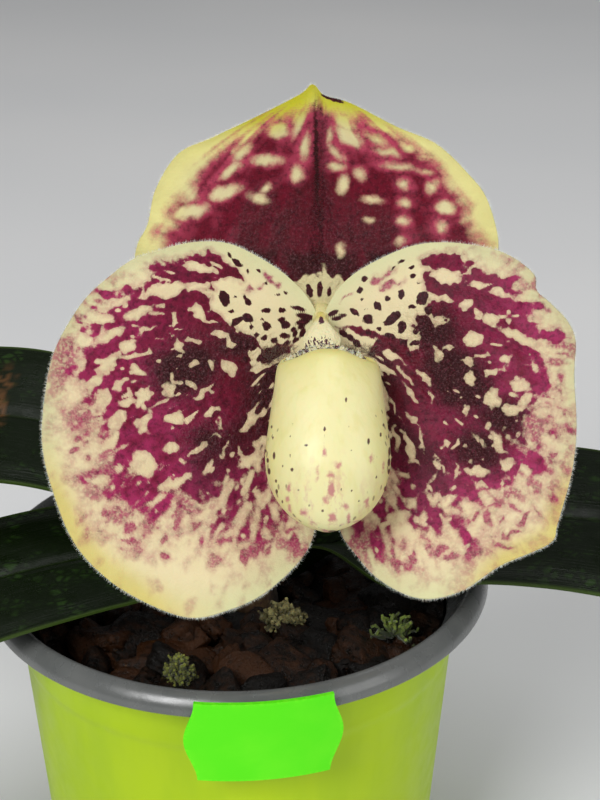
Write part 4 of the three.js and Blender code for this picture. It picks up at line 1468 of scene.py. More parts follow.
@dataclass
class Blade:
    """A petal or sepal about its middle, out to its outline."""

    node: str
    slot: str
    outline: Sequence[Flat]
    middle: Flat
    depth: Depth
    pattern: Pattern | None
    tint: Tint
    cells: int = 190
    fringe: int = 3200
    thickness: float = 0.9

    def __post_init__(self) -> None:
        """Measures the outline."""
        self.margin = Outline(self.outline)

    def spread(self, along: Array, across: Array) -> tuple[Array, Array, Array, Array]:
        """Spreads a square over the round blade.

        Args:
            along: Places along the square, from 0 to 1.
            across: Places across it.

        Returns:
            x, y, how far out and how far round each place comes to lie.
        """
        a, b, tiny = 2 * along - 1, 2 * across - 1, 1e-9
        out = np.maximum(np.abs(a), np.abs(b))
        p, q = a / np.maximum(out, tiny), b / np.maximum(out, tiny)
        turn = np.select([p > 1 - tiny, q > 1 - tiny, p < tiny - 1], [(1 + q) / 8, (3 - p) / 8, (5 - q) / 8],
                         ((7 + p) / 8) % 1)
        turn = np.where(out < tiny, 0, turn)
        end = self.margin.at(turn)
        x, y = between(self.middle[0], end[:, 0], out), between(self.middle[1], end[:, 1], out)
        return x, y, out, turn

    def surface(self, along: Array, across: Array) -> Array:
        """Gives the blade's middle surface, in place."""
        x, y, out, turn = self.spread(along, across)
        return in_place(np.stack([x, y, self.depth(x, y, out, turn)], 1))

    def build(self, front: Material, back: Material, coat: Material) -> None:
        """Builds the blade, its colours and the fringe of hair round its margin.

        Args:
            front: The finish of the face that looks forward.
            back: The finish of the other face.
            coat: The finish of the hair.
        """
        piece, along, across = sheet(f"{self.node}_blade", self.cells, self.cells, self.surface)
        x, y, out, _ = self.spread(along, across)
        if self.pattern:
            self.pattern.paint(piece, x, y)
        else:
            tag(piece, "ink", -1.0)
            tag(piece, "haze", 0.2)
            for name in ("pink", "brown", "freckle", "crease"):
                tag(piece, name, 0.0)
        green, gold = self.tint(x, y, out)
        tag(piece, "green", green)
        tag(piece, "gold", gold)
        thicken(piece, self.thickness, between(1, 0.42, smooth(out, 0.8, 1)), two_faced=True)
        weld(piece, False)
        finished(rounded(piece, 75), self.slot, front, back, stands_for=[self.node])
        self.hair(coat)

    def hair(self, coat: Material) -> None:
        """Grows the fringe of fine hair round the margin."""
        draw = np.random.default_rng(len(self.node) + self.fringe)
        turn = draw.random(self.fringe)
        a, b = edge_of_square(turn)
        roots, inner = self.surface(a, b), self.surface(between(0.5, a, 0.96), between(0.5, b, 0.96))
        x, y, _, _ = self.spread(a, b)
        kept = np.hypot(x, y) > 9
        roots, out = roots[kept], unit(roots - inner)[kept]
        fringe = hairs(f"{self.node}_fringe", roots, out, draw, 0.35, (0.2, 0.62), 0.026, 0.1)
        finished(fringe, self.slot, coat)


def edge_of_square(turn: Array) -> tuple[Array, Array]:
    """Gives the place on a square's edge, from 0 to 1 each way, at a share of the way round."""
    side, share = np.floor(turn * 4).astype(int) % 4, (turn * 4) % 1
    a = np.select([side == 0, side == 1, side == 2], [1.0, 1 - share, 0.0], share)
    b = np.select([side == 0, side == 1, side == 2], [share, 1.0, 1 - share], 0.0)
    return a, b


def off_claw(x: Array, y: Array) -> Array:
    """Gives how strongly a margin feature shows: not at all at the claw."""
    return smooth(np.hypot(x, y), 9, 23)


def petal_depth(phase: float) -> Depth:
    """Gives the form of a petal: a bowl with a waved margin that turns back a little."""
    def depth(x: Array, y: Array, out: Array, turn: Array) -> Array:
        """Gives how far forward the petal stands."""
        bowl = 10.5 * (np.hypot(x, y) / 40) ** 1.7 - 2.4 + 2 * smooth(-y, 25, 45)
        behind_lip = 1.6 * smooth(-y, 4, 26) * (1 - smooth(np.abs(x), 4, 16))
        rolled_top = 1.8 * smooth(y, 2, 9) * (1 - smooth(np.abs(x), 14, 27)) * out**3
        wave = 0.7 * np.sin(19 * turn + phase) * out**5
        margin = off_claw(x, y) * (wave - 1.4 * smooth(out, 0.72, 1))
        crumple = 0.1 * grain(x, y, 2.3, 40) + 0.05 * grain(x, y, 0.9, 41)
        return bowl - behind_lip - rolled_top + margin + crumple * off_claw(x, y)
    return depth


def sepal_depth(x: Array, y: Array, out: Array, turn: Array) -> Array:
    """Gives the hood of the dorsal sepal: creased at its midrib, its tip and sides forward."""
    hood = 10.5 * smooth(y, 12, 40) ** 1.4 + 3.6 * (x / 28) ** 2
    crease = 1.3 * bell(x, 2.4) * smooth(y, 4, 14)
    margin = 0.8 * smooth(out, 0.84, 1) * off_claw(x, y)
    crumple = 0.12 * grain(x, y, 2.6, 42) * off_claw(x, y)
    return hood - crease - 0.5 * smooth(y, 2.5, 7) - 5 - margin + crumple


def synsepal_depth(x: Array, y: Array, out: Array, turn: Array) -> Array:
    """Gives the form of the sepal behind the lip."""
    return -4.9 + 2.2 * (x / 12) ** 2 + 1.2 * smooth(-y, 16, 27)


# Each veil is the outline of a coloured field. Each mark of the other lists has its middle, its
# half-length, its half-width and, where it isn't level, its turn.
VEIL_LEFT = (
    (-4.2, -3), (-6.5, -3.3), (-8.6, -4.2), (-9.3, -2.6), (-10.8, -1.7), (-13, -0.7), (-14.8, 0.3),
    (-15.3, 1.6), (-17.3, 2.2), (-17.2, 4.3), (-18.6, 4.9), (-20.6, 4.6), (-21.3, 5.6), (-19.5, 6.3),
    (-17.8, 5.2), (-16.4, 5.5), (-15.6, 6.7), (-14, 7.2), (-12.2, 6.6), (-12.9, 8.4), (-14.4, 9.6),
    (-15.6, 10.6), (-17.4, 11.3), (-18.2, 10.7), (-20.5, 10.3), (-22.8, 9.9), (-23.6, 9), (-25.8, 8.8),
    (-25.3, 7.9), (-26.8, 7), (-28.9, 6.1), (-28.6, 5.4), (-31.2, 4.6), (-33, 3.6), (-33, 2.6), (-34.6, 1.6),
    (-34, 0.6), (-35.6, -0.3), (-35.2, -1.4), (-37, -2.4), (-37, -4), (-37.3, -6.3), (-36.8, -9.2),
    (-36, -11.5), (-34, -13.5), (-32.8, -15.5), (-32, -17.5), (-30.5, -19), (-30.4, -22.5), (-31.6, -25),
    (-30, -27.5), (-27, -27.8), (-24.6, -29), (-23.2, -27.6), (-20.5, -26.3), (-19, -28), (-16.8, -28.4),
    (-15.6, -30), (-13, -30.6), (-11.8, -32.6), (-9.2, -32), (-7.8, -31), (-6, -30.4), (-4.4, -32), (-3, -31),
    (-4.6, -29), (-6.4, -27), (-7.3, -23), (-7.6, -18), (-7.5, -12), (-6.5, -7.5), (-5, -5),
)
ISLANDS_LEFT = (
    (-18.8, 8.6, 2.9, 0.75, -15), (-16.2, 9.3, 1.2, 0.42, -22), (-24, 4.95, 3.2, 1, 8),
    (-22.6, 5.6, 1.6, 0.7), (-18.6, 5.6, 1.5, 0.55), (-14.5, 6, 2.1, 0.95, -5), (-30.8, 3.3, 1.9, 0.5, 3),
    (-29.3, 3.8, 0.6, 0.5, 30), (-27.6, 1.6, 2.3, 0.75, 28), (-33.3, 0.6, 1.9, 0.6, 12),
    (-31.9, -1.7, 2.2, 0.75, 30), (-35.5, -2.4, 1.4, 0.85, 22), (-22.5, 0.5, 1, 0.5, 72),
    (-18.8, 1.8, 1.5, 0.75, -52), (-17.4, 0.4, 1, 0.28, -12), (-26.6, -0.7, 1.4, 0.38, 40),
    (-15.6, -1.6, 1.2, 0.55, -5), (-14.1, -2.8, 1, 0.55, -38), (-29.3, -3.3, 1.2, 1, 20),
    (-21.8, -3.2, 1.3, 0.5, -58), (-19.6, -2.7, 0.9, 0.28, -8), (-19.4, -6, 0.7, 0.55),
    (-17.1, -6.1, 0.75, 0.65, -60), (-14.1, -6.7, 1.8, 0.75, -48), (-10.2, -4.3, 0.95, 0.85),
    (-32.3, -6.2, 1.7, 0.75, 62), (-27.9, -7.2, 1.2, 0.75, -32), (-34, -8.7, 1.7, 0.95, 52),
    (-30.5, -9.4, 1.1, 0.7, 66), (-23.2, -10, 1, 0.8, 85), (-22.7, -8.3, 0.8, 0.25, 88),
    (-19.8, -9.3, 1, 0.5, -28), (-18, -10.6, 1.9, 0.65, 38), (-19.3, -11.5, 0.7, 0.3, -10),
    (-27, -11.2, 1.5, 0.95, 62), (-29.5, -11.7, 1.3, 0.4, 10), (-16.8, -13.5, 1.5, 0.55, 30),
    (-22.4, -14.6, 1.6, 1, -8), (-26.7, -15, 1.7, 0.75, 62), (-15.5, -15.2, 1.1, 0.38, 72),
    (-22.7, -18.8, 1.2, 0.85, 18), (-19, -19.4, 2, 0.5, 34), (-26.9, -21, 2.35, 1.95, -62),
    (-24.2, -21.9, 1.1, 0.22, 24), (-16.8, -21.8, 1.6, 0.55, 54), (-12.3, -20.2, 1.8, 0.38, 80),
    (-9.8, -18.3, 0.9, 0.6, 60), (-11, -15.5, 0.9, 0.3, 74), (-14.7, -19.2, 1.2, 0.28, 58),
    (-21.8, -24, 3, 0.75, 22), (-14.5, -24.2, 1.5, 0.4, 78), (-11.5, -24.3, 1.3, 0.65, 96),
    (-9, -26.9, 1.3, 0.85, 108), (-6.8, -29, 1.2, 0.7, 110), (-9.7, -21.7, 1.1, 0.6, 100),
    (-31.6, -17.7, 2.1, 1.2, 66), (-30.6, -14.4, 1.6, 0.9, 40), (-33.3, -12, 2.2, 1.1, 62),
    (-30.2, -21.6, 0.9, 0.6, 40), (-24.5, -26.2, 2, 0.35, 24), (-8.2, -32, 1.1, 0.7, 120),
    (-11, -28, 0.8, 0.5, 100),
)
SPOTS_LEFT = (
    (-14.9, 4, 1.25, 0.85, -68), (-13.2, 4.2, 0.45, 0.2), (-11.2, 3.4, 0.6, 0.5, -50),
    (-11.9, 4.1, 0.4, 0.25, -50), (-13.8, 2, 0.5, 0.32), (-12.9, 0.5, 1.1, 0.5, 25),
    (-11.3, 1, 0.95, 0.7, -20), (-8.5, 2.1, 0.9, 0.4, 3), (-9.2, 0.8, 0.35, 0.3),
    (-8.4, -0.3, 0.72, 0.62, -60), (-6, 2.2, 0.55, 0.32), (-6.1, 0.65, 0.58, 0.48),
    (-3.5, 2.5, 1.05, 0.28, -14), (-2.3, 1.25, 1.5, 0.34, -10), (-2.8, 0.4, 1.05, 0.36, 8),
    (-3, -0.35, 0.55, 0.26, 20), (-5.4, -0.15, 0.75, 0.48, 22), (-4.3, -0.8, 0.4, 0.3, 40),
    (-5.6, -1.75, 0.75, 0.42, -8), (-4, -1.5, 0.5, 0.3, 50), (-2.8, -1.3, 0.62, 0.4, 62),
    (-13, 9.4, 0.95, 0.5, -32), (-14.1, 10.6, 0.5, 0.22, -50), (-11.4, 8.1, 0.28, 0.36),
    (-9.7, 8.2, 0.42, 0.28, -60), (-6.8, 4.5, 0.42, 0.28), (-5.6, 4.8, 0.42, 0.26, -30),
    (-8.6, 6.3, 0.34, 0.26), (-8.2, -4.1, 0.7, 0.42, 10), (-6.8, -3.6, 0.75, 0.34, 32),
    (-5.3, -3, 0.7, 0.34, 35), (-3.9, -2.5, 0.6, 0.3, 35), (-8.8, -2.1, 0.65, 0.36, 25),
    (-7.2, -2.5, 0.6, 0.38, 20), (-9.9, -1.6, 0.5, 0.3, 10), (-10.4, -3.6, 0.8, 0.42, 30),
    (-9.3, -5.2, 0.85, 0.42, 35), (-7.3, -5, 0.7, 0.4, 40), (-11.7, -5.4, 0.8, 0.42, 30),
    (-10.7, -0.4, 0.42, 0.3),
)
FAINT_LEFT = (
    (-34.4, -12, 1.3, 0.6, 60), (-35.2, -16.6, 0.5, 0.4), (-36.6, -17.2, 0.6, 0.5), (-33.2, -17.7, 0.45, 0.4),
    (-35.2, -17.9, 0.5, 0.4), (-37, -19, 0.7, 0.5), (-35, -20, 0.5, 0.45), (-33.2, -19.8, 0.5, 0.4),
    (-32, -21.6, 1.2, 0.7, 40), (-34.3, -22.4, 0.6, 0.5), (-32.4, -24.3, 0.5, 0.6, 60),
    (-31.9, -28.5, 0.9, 0.6, 50), (-27.9, -30.4, 1.4, 0.7, 10), (-24.4, -30.7, 0.8, 0.6, 40),
    (-28.2, -32.4, 1.5, 0.65, 12), (-22, -30.3, 1.3, 0.4, 58), (-23.4, -32.4, 0.8, 0.4, 30),
    (-23, -34.6, 0.8, 0.6), (-17.8, -33, 0.5, 1), (-11.4, -34.6, 1.3, 0.5, 100), (-7.8, -34, 0.9, 0.5, 60),
    (-4.5, -31.4, 1.2, 0.5, 25), (-14, -32.4, 1.6, 0.5, 25), (-9.2, -33.3, 1.2, 0.5, 100),
    (-8.1, 6.8, 1.1, 0.55, -40), (-6.5, 6.2, 0.5, 0.35), (-11.3, 5.2, 0.8, 0.4), (-9.2, 5.9, 0.5, 0.3),
)
VEIL_RIGHT = (
    (2, 0.05), (5, -0.1), (9, -1), (12, -2.3), (13.6, -1.9), (13.3, -2.9), (15, -3.9), (15.4, -1),
    (13.6, -0.1), (15.2, 1.1), (17, 1.2), (18.2, 0.3), (18, -0.2), (19.3, -0.2), (19.9, 0.8), (18, 1.3),
    (17, 2), (16.2, 2.6), (16.6, 3.4), (18.4, 3.7), (18.4, 4.6), (16.4, 5.1), (15.8, 6.3), (15.9, 7.6),
    (17.2, 8.3), (18, 8.6), (15.4, 9.1), (15.4, 10.2), (17.5, 10.8), (19, 11), (22.3, 11.1), (22.2, 9.5),
    (25.2, 9.4), (25.3, 8), (27.2, 8.1), (29.2, 7.1), (29.5, 5.5), (31, 4.6), (32.3, 2.9), (34, 1),
    (35.2, -0.4), (35.6, -2.4), (34.2, -2.8), (33.2, -3.4), (34, -5), (34.6, -7.5), (33.6, -8.5), (34, -10.5),
    (35.2, -13), (35.6, -15.5), (34.2, -14), (33, -12.8), (31.8, -11.5), (31, -14), (30, -15), (31.6, -17),
    (33, -19), (34, -21.6), (32.4, -21.6), (31.2, -19.6), (29.8, -20.8), (29.8, -22.5), (28.4, -23.9),
    (26.6, -24.2), (25.2, -25.2), (23.4, -25), (22.4, -27), (20.6, -28.5), (21, -30.2), (23.4, -31.6),
    (22, -32.6), (19.8, -30.4), (18, -29.5), (17.2, -31.5), (15.6, -32.6), (15, -30.6), (12.5, -33.6),
    (11, -33), (10.4, -31.4), (9.6, -34.4), (7.6, -32.6), (7, -30.4), (6.2, -32.4), (4.6, -30.6),
    (7.6, -28.2), (9.8, -25.4), (11, -21.5), (10.6, -16), (10.3, -10.5), (8.6, -6.6), (7.4, -4.4), (8, -3.2),
    (9.3, -2.2), (5.2, -1.3), (4.6, -0.6), (2, -0.3),
)
ISLANDS_RIGHT = (
    (19.3, 7.4, 2.2, 0.95, -3), (23.9, 6.3, 1.3, 0.6, -3), (27.2, 4.9, 1.6, 0.5, -20),
    (19.2, 4, 1.1, 0.6, -32), (22.2, 3.3, 1.15, 0.65, 48), (24.1, 2, 0.75, 0.45, -40),
    (26, 1.1, 1.1, 0.9, -10), (30, -1.6, 3.1, 0.8, -25), (34.2, -3.9, 2.2, 0.7, -32),
    (23.2, -2.1, 1.45, 0.85), (28.3, -4.9, 0.9, 0.75, 80), (32.3, -6, 1.2, 0.5, -66), (25.2, -4.5, 0.5, 0.22),
    (18.1, -4.4, 1.15, 0.5, -68), (19.6, -3.5, 0.9, 0.2, 2), (22.8, -5.6, 0.75, 0.35),
    (22.9, -8, 1.45, 0.85, 88), (15.9, -8, 1.7, 0.45, -44), (14.4, -3.5, 1.2, 0.45, -42),
    (11.4, -4.9, 2, 0.36, -30), (9.9, -6.8, 0.85, 0.5, -45), (14, -10.4, 2, 0.38, -48),
    (13.4, -8, 1.4, 0.2, -44), (17.1, -11, 0.95, 0.2, -58), (26.3, -11.1, 1.6, 1.35, -70),
    (28.8, -12.9, 1.15, 0.8, 28), (30.4, -8.6, 1, 0.9, 60), (31, -11, 1.3, 0.7, 40),
    (22.3, -12.8, 0.75, 0.35, 80), (14.4, -14.8, 1.5, 0.28, -58), (15.5, -17.6, 1.8, 0.36, -74),
    (11.8, -17.6, 2.3, 0.5, -74), (11.4, -12.6, 1.5, 0.26, -62), (19.3, -18, 0.85, 0.55, -50),
    (20.8, -18.1, 0.95, 0.42, 58), (24.3, -17.6, 1.1, 0.22, -46), (26.9, -17.8, 2.3, 0.65, -54),
    (28.2, -20.7, 1.4, 0.9), (23.8, -22, 2.1, 0.8, -4), (30.8, -22, 1.6, 1.1, 60),
    (20.8, -22.3, 1.2, 0.3, 60), (18.6, -21.6, 1.6, 0.28, -50), (14.4, -20.6, 1.5, 0.35, -30),
    (12.9, -22.8, 1, 0.35, -20), (16.9, -23.6, 1.4, 0.3, 55), (14, -26.9, 1, 0.9), (17.9, -26, 1.3, 0.6, 60),
    (12.2, -29.2, 1.4, 0.9, 10), (15.6, -29, 1, 0.5, 80), (19.6, -26.6, 1.6, 0.6, 30),
    (8.2, -29.6, 1.1, 0.6, -60), (10.6, -25.9, 1.2, 0.5, 30), (31.9, -16.5, 1.9, 1, -70),
    (13.2, -17, 0.8, 0.2, -60), (12.3, -14.2, 0.8, 0.25, -60),
)
SPOTS_RIGHT = (
    (1.9, 1.8, 0.85, 0.3, 24), (2.5, 0.95, 0.75, 0.26, 8), (3.5, 1.5, 0.5, 0.18), (5.3, 1.95, 0.9, 0.34, -34),
    (7.4, 0.9, 0.82, 0.75), (7.1, 2.35, 0.3, 0.12), (8.9, 2.9, 0.85, 0.5, -55), (6.4, 3.9, 0.24, 0.18, 30),
    (6.1, 5.3, 0.6, 0.48, 30), (6.8, 7, 0.52, 0.46, 40), (10.3, 4.1, 0.5, 0.36), (12.5, 4.7, 0.75, 0.56, 80),
    (11.1, 1, 1.6, 0.72, 42), (12.6, -0.3, 1, 0.66, 80), (14.1, 2.8, 0.52, 0.34), (15.7, 4.1, 1.15, 0.85, 58),
    (14.2, 7.4, 0.48, 0.36, 30), (15.2, 6.35, 0.32, 0.16), (12.5, 9.8, 0.6, 0.24, 22),
    (11.3, 8.8, 0.5, 0.2, 48), (14, 8.8, 0.45, 0.26, 20), (14.7, -1, 0.55, 0.36),
    (14.6, -2.7, 0.75, 0.42, 20), (3.6, -1.4, 0.75, 0.42, -30), (4.7, -2, 0.6, 0.4, -35),
    (5.7, -2.9, 0.65, 0.48, -48), (16.6, 2.3, 0.7, 0.7), (19.2, 0.9, 0.4, 0.28, -20),
    (10.9, -1.7, 1, 0.42, -18), (12.8, -2.6, 0.8, 0.42, -25), (9.2, -0.6, 0.45, 0.3),
    (9.2, -2.6, 0.7, 0.34, -30), (7.3, -1.2, 0.9, 0.3, -14), (11.4, -3.9, 0.7, 0.36, -40),
    (13.6, -4.4, 0.6, 0.36, -30),
)
FAINT_RIGHT = (
    (35.9, -4.2, 0.7, 0.3, 10), (36.2, -7.5, 0.4, 1.2), (35.8, -10.5, 1.2, 0.3, -75),
    (36.4, -13, 1, 0.3, -75), (34.6, -19, 0.6, 0.4, 60), (31.5, -23.3, 1, 0.35, 60),
    (31.4, -24.6, 0.6, 0.3, -60), (26.6, -26.6, 1.6, 0.35, 30), (29.2, -27, 1.6, 0.35, -40),
    (25.4, -28.5, 0.5, 1.5), (27.6, -29, 1.4, 0.35, 60), (30.6, -28.6, 1.2, 0.5, 60),
    (29, -30.8, 1.6, 0.4, 20), (23.4, -28.6, 1.6, 0.3, 45), (32.6, -27.6, 0.3, 0.9, 20),
    (18.2, -33.6, 1.2, 0.7, 20), (14, -35, 1.2, 0.5, 80), (11.4, -34.6, 1.3, 0.5, 100),
    (20, -34.6, 1.4, 0.4, 10), (27, -32.6, 2, 0.4, -10), (8.6, 6.9, 1, 0.45, 30), (10.2, 7.7, 1.3, 0.4, 35),
    (10.8, 6.2, 1.2, 0.45, 10), (12.6, 6.5, 0.8, 0.4, 20), (9.6, 5.5, 0.6, 0.35), (4.2, 4.4, 1.3, 0.2, 40),
)
VEIL_DORSAL = (
    (-24.6, 12.6), (-25.6, 14.1), (-23, 15.4), (-24, 17.6), (-22, 19.6), (-19.4, 19.8), (-20, 22),
    (-18.6, 24), (-17, 25.6), (-15, 27.4), (-12, 29.4), (-9, 31.1), (-6.5, 32.1), (-3.5, 32.6), (-1.2, 33.4),
    (1.6, 32.4), (5.5, 31.9), (8, 30.9), (10.6, 29.6), (13.4, 28.3), (15.6, 26.6), (18.2, 24.8), (19.2, 22.6),
    (20.8, 20.4), (23.2, 18.8), (22.6, 16.6), (24, 14.4), (25.6, 12.6), (22, 9), (12, 6.4), (4.2, 6.2),
    (2.9, 7.6), (1.6, 7.4), (0.6, 9.2), (0, 7.4), (-1.4, 7.9), (-2.7, 7.3), (-3.6, 6.4), (-12, 6), (-22, 9),
)
ISLANDS_DORSAL = (
    (-6.3, 29.6, 1.4, 0.85, 8), (-11, 28.8, 1.9, 0.5, 48), (-12.4, 26.4, 1.5, 0.6, 45),
    (-8.3, 25.4, 1.8, 0.6), (-14, 23.8, 1.5, 0.5, 35), (-15, 20.5, 2.1, 0.75, 20),
    (-3.8, 23.4, 1.1, 0.85, 80), (-9.6, 19.6, 1.4, 0.75, -20), (-8.6, 21.2, 0.8, 0.5, 40),
    (-20.4, 17.4, 2.3, 1, 16), (-2.6, 27.4, 1.6, 0.7, 80), (-3.6, 31.2, 1.6, 0.5, 70),
    (4.2, 28.8, 1.9, 0.8, -32), (3.4, 30.9, 1.4, 0.6, -40), (9, 30.1, 1.8, 0.45, -18),
    (10.3, 26.6, 1.6, 0.6, -14), (12, 24.6, 1.7, 0.45, -6), (8.6, 28.3, 1.3, 0.4, -30),
    (13.3, 27.3, 1, 0.5, -12), (2.3, 26.8, 1.2, 0.5, -48), (5.9, 23.3, 0.85, 0.65, -40),
    (3.4, 21.8, 1.2, 0.75, 84), (2.3, 24.6, 1, 0.5, -10), (7.8, 19.4, 1.3, 0.5, -4),
    (12.7, 21.7, 1, 0.7, -30), (17.3, 21.5, 1.05, 0.85, 70), (16, 23.8, 1, 0.42, -8),
    (12.9, 16.2, 0.85, 0.7, 20), (7.5, 16.3, 0.7, 0.42), (12.5, 13.1, 0.75, 0.55, 20),
    (18.6, 15.2, 1.1, 0.8, -60), (19.2, 18.3, 1.5, 1, -10), (3.2, 11.5, 0.95, 0.5, 82), (13, 19, 0.9, 0.7),
    (20.5, 22.5, 1, 0.5), (16.5, 25.8, 1.1, 0.4, -10), (1.4, 29, 0.9, 0.4, 80),
)
SPOTS_DORSAL = (
    (-1.8, 5.2, 1.15, 0.52, 104), (-0.15, 5.4, 1.35, 0.48, 88), (1.35, 5.1, 0.9, 0.34, 80),
    (-0.9, 25.6, 8.4, 0.42, 92), (1.5, 34.3, 1.9, 0.32, -20),
)
BROWNS_LEFT = ((-21, -7, 6, 4.5, 20), (-13, -3, 4, 2.5), (-17, -18, 4, 3))
BROWNS_RIGHT = ((17, -1, 5, 4), (21, -8, 7, 5, -50), (28, -14, 5, 4), (24, -19, 5, 4))
BROWNS_DORSAL = ((-9.6, 13, 9, 3.5, 86), (0, 13, 10, 7, 89), (9.2, 12, 7, 3, 96), (0, 18, 14, 1, 90))

# Outlines from the claw round the margin and back to it.
PETAL_LEFT = (
    (-0.5, -0.4), (-0.6, 1.4), (-1.5, 3.4), (-3.9, 6.2), (-8, 9.4), (-14.2, 12.4), (-20.2, 12.5),
    (-26.3, 10.7), (-29.2, 9.5), (-32.7, 6.7), (-35.5, 3.9), (-38, 0), (-39.9, -4.2), (-40.9, -9.2),
    (-41.3, -17.2), (-39.8, -24.2), (-36.6, -31.9), (-31.8, -37.2), (-25.7, -41), (-19.1, -43.2),
    (-13.5, -42.3), (-8.1, -40.1), (-3.2, -36), (-0.9, -32), (-0.6, -26), (-0.8, -16), (-0.9, -7),
    (-0.7, -2.8),
)
PETAL_RIGHT = (
    (0.5, -0.4), (0.6, 1.5), (1.5, 3.6), (3.5, 6.4), (7.3, 9.2), (13.8, 12.1), (20.1, 12.7), (27.4, 11.2),
    (31.9, 8), (32.5, 5.4), (34.6, 3.4), (37, 0.7), (38.1, -2.2), (38, -7.2), (38.4, -15.4), (37.6, -22),
    (35.4, -29.3), (34, -32.1), (26.9, -35.4), (20.9, -39.2), (15, -40.4), (9.2, -38.3), (5.1, -34.4),
    (3.2, -31.4), (2.2, -26), (1.5, -16), (1, -7), (0.7, -2.8),
)
DORSAL_SEPAL = (
    (0, 1.8), (-2.4, 1.9), (-12, 3), (-23.5, 5.4), (-28.4, 8.6), (-28.5, 12.1), (-26.9, 15.4), (-25.6, 20.6),
    (-22, 25.9), (-16.7, 28.4), (-9, 31.9), (-3.3, 34.7), (-1.4, 36.2), (0.4, 34.7), (4.5, 33.4),
    (11.4, 30.1), (17.3, 27.7), (22.2, 23.6), (25.7, 19.1), (27.4, 11.6), (24, 6.2), (12.5, 3.1), (2.4, 1.9),
)
SYNSEPAL = (
    (0, -1.9), (2.3, -2.1), (8, -4.6), (12.2, -10), (12.4, -16), (9.4, -21.5), (4, -25.2), (0, -26.2),
    (-4, -25.2), (-9.4, -21.5), (-12.4, -16), (-12.2, -10), (-8, -4.6), (-2.3, -2.1),
)

# Each mark on the pouch: its middle, half-height and half-width.
POUCH_DOTS = (
    (3.6, -10.6, 0.3, 0.15), (-6.6, -14.7, 0.2, 0.1), (-6.4, -16.2, 0.2, 0.1), (-7.4, -18.2, 0.2, 0.12),
    (-6.2, -18.6, 0.45, 0.16), (-7.1, -19.4, 0.3, 0.16), (-6.9, -20.9, 0.4, 0.2), (-3.7, -20.3, 0.22, 0.2),
    (-4, -18.4, 0.2, 0.1), (-3.7, -14.1, 0.15, 0.08), (-4, -15.7, 0.15, 0.08), (-5.9, -22.1, 0.2, 0.14),
    (-5.8, -23.6, 0.3, 0.16), (-5, -19.9, 0.15, 0.08), (-1.8, -16.9, 0.16, 0.2), (8.8, -14.3, 0.2, 0.1),
    (8.4, -15.6, 0.25, 0.14), (9.6, -16, 0.2, 0.1), (9.7, -18.1, 0.5, 0.2), (9.6, -19.6, 0.5, 0.2),
    (9.6, -20.9, 0.35, 0.18), (9.1, -23.3, 0.3, 0.18), (6.7, -16.4, 0.4, 0.16), (7.8, -21.4, 0.2, 0.1),
    (4, -14.2, 0.12, 0.08), (4.3, -17.5, 0.15, 0.1), (0.7, -14.6, 0.3, 0.18), (0.7, -15.6, 0.12, 0.1),
    (3, -22.9, 0.15, 0.1), (4.4, -23.1, 0.15, 0.1), (0.5, -25.9, 0.16, 0.14), (-1.3, -25.2, 0.14, 0.1),
    (1.8, -29.1, 0.15, 0.4), (-5, -25, 0.2, 0.1), (-2.8, -23.1, 0.15, 0.1), (5.4, -24.6, 0.15, 0.1),
)
POUCH_SMEARS = (
    (0.7, -17.7, 0.7, 0.25), (-0.2, -20.8, 0.8, 0.25), (1.6, -20.8, 0.6, 0.6), (1.6, -22.9, 1.3, 0.5),
    (1.8, -26.9, 0.7, 0.6), (-2.1, -26.3, 0.45, 0.4), (-0.6, -27.6, 0.3, 0.4), (4, -27.2, 0.7, 0.3),
    (6.5, -25.1, 0.9, 0.35), (-4.1, -22.8, 0.7, 0.3), (-4.3, -24.4, 0.5, 0.3), (-4, -25.9, 0.7, 0.3),
    (7.1, -18.8, 0.6, 0.3), (8.8, -20.1, 0.6, 0.2), (5, -27.7, 0.3, 0.5), (2.6, -19.5, 0.4, 0.4),
    (0.9, -24.5, 0.5, 0.5), (3.5, -25.3, 0.4, 0.5),
)


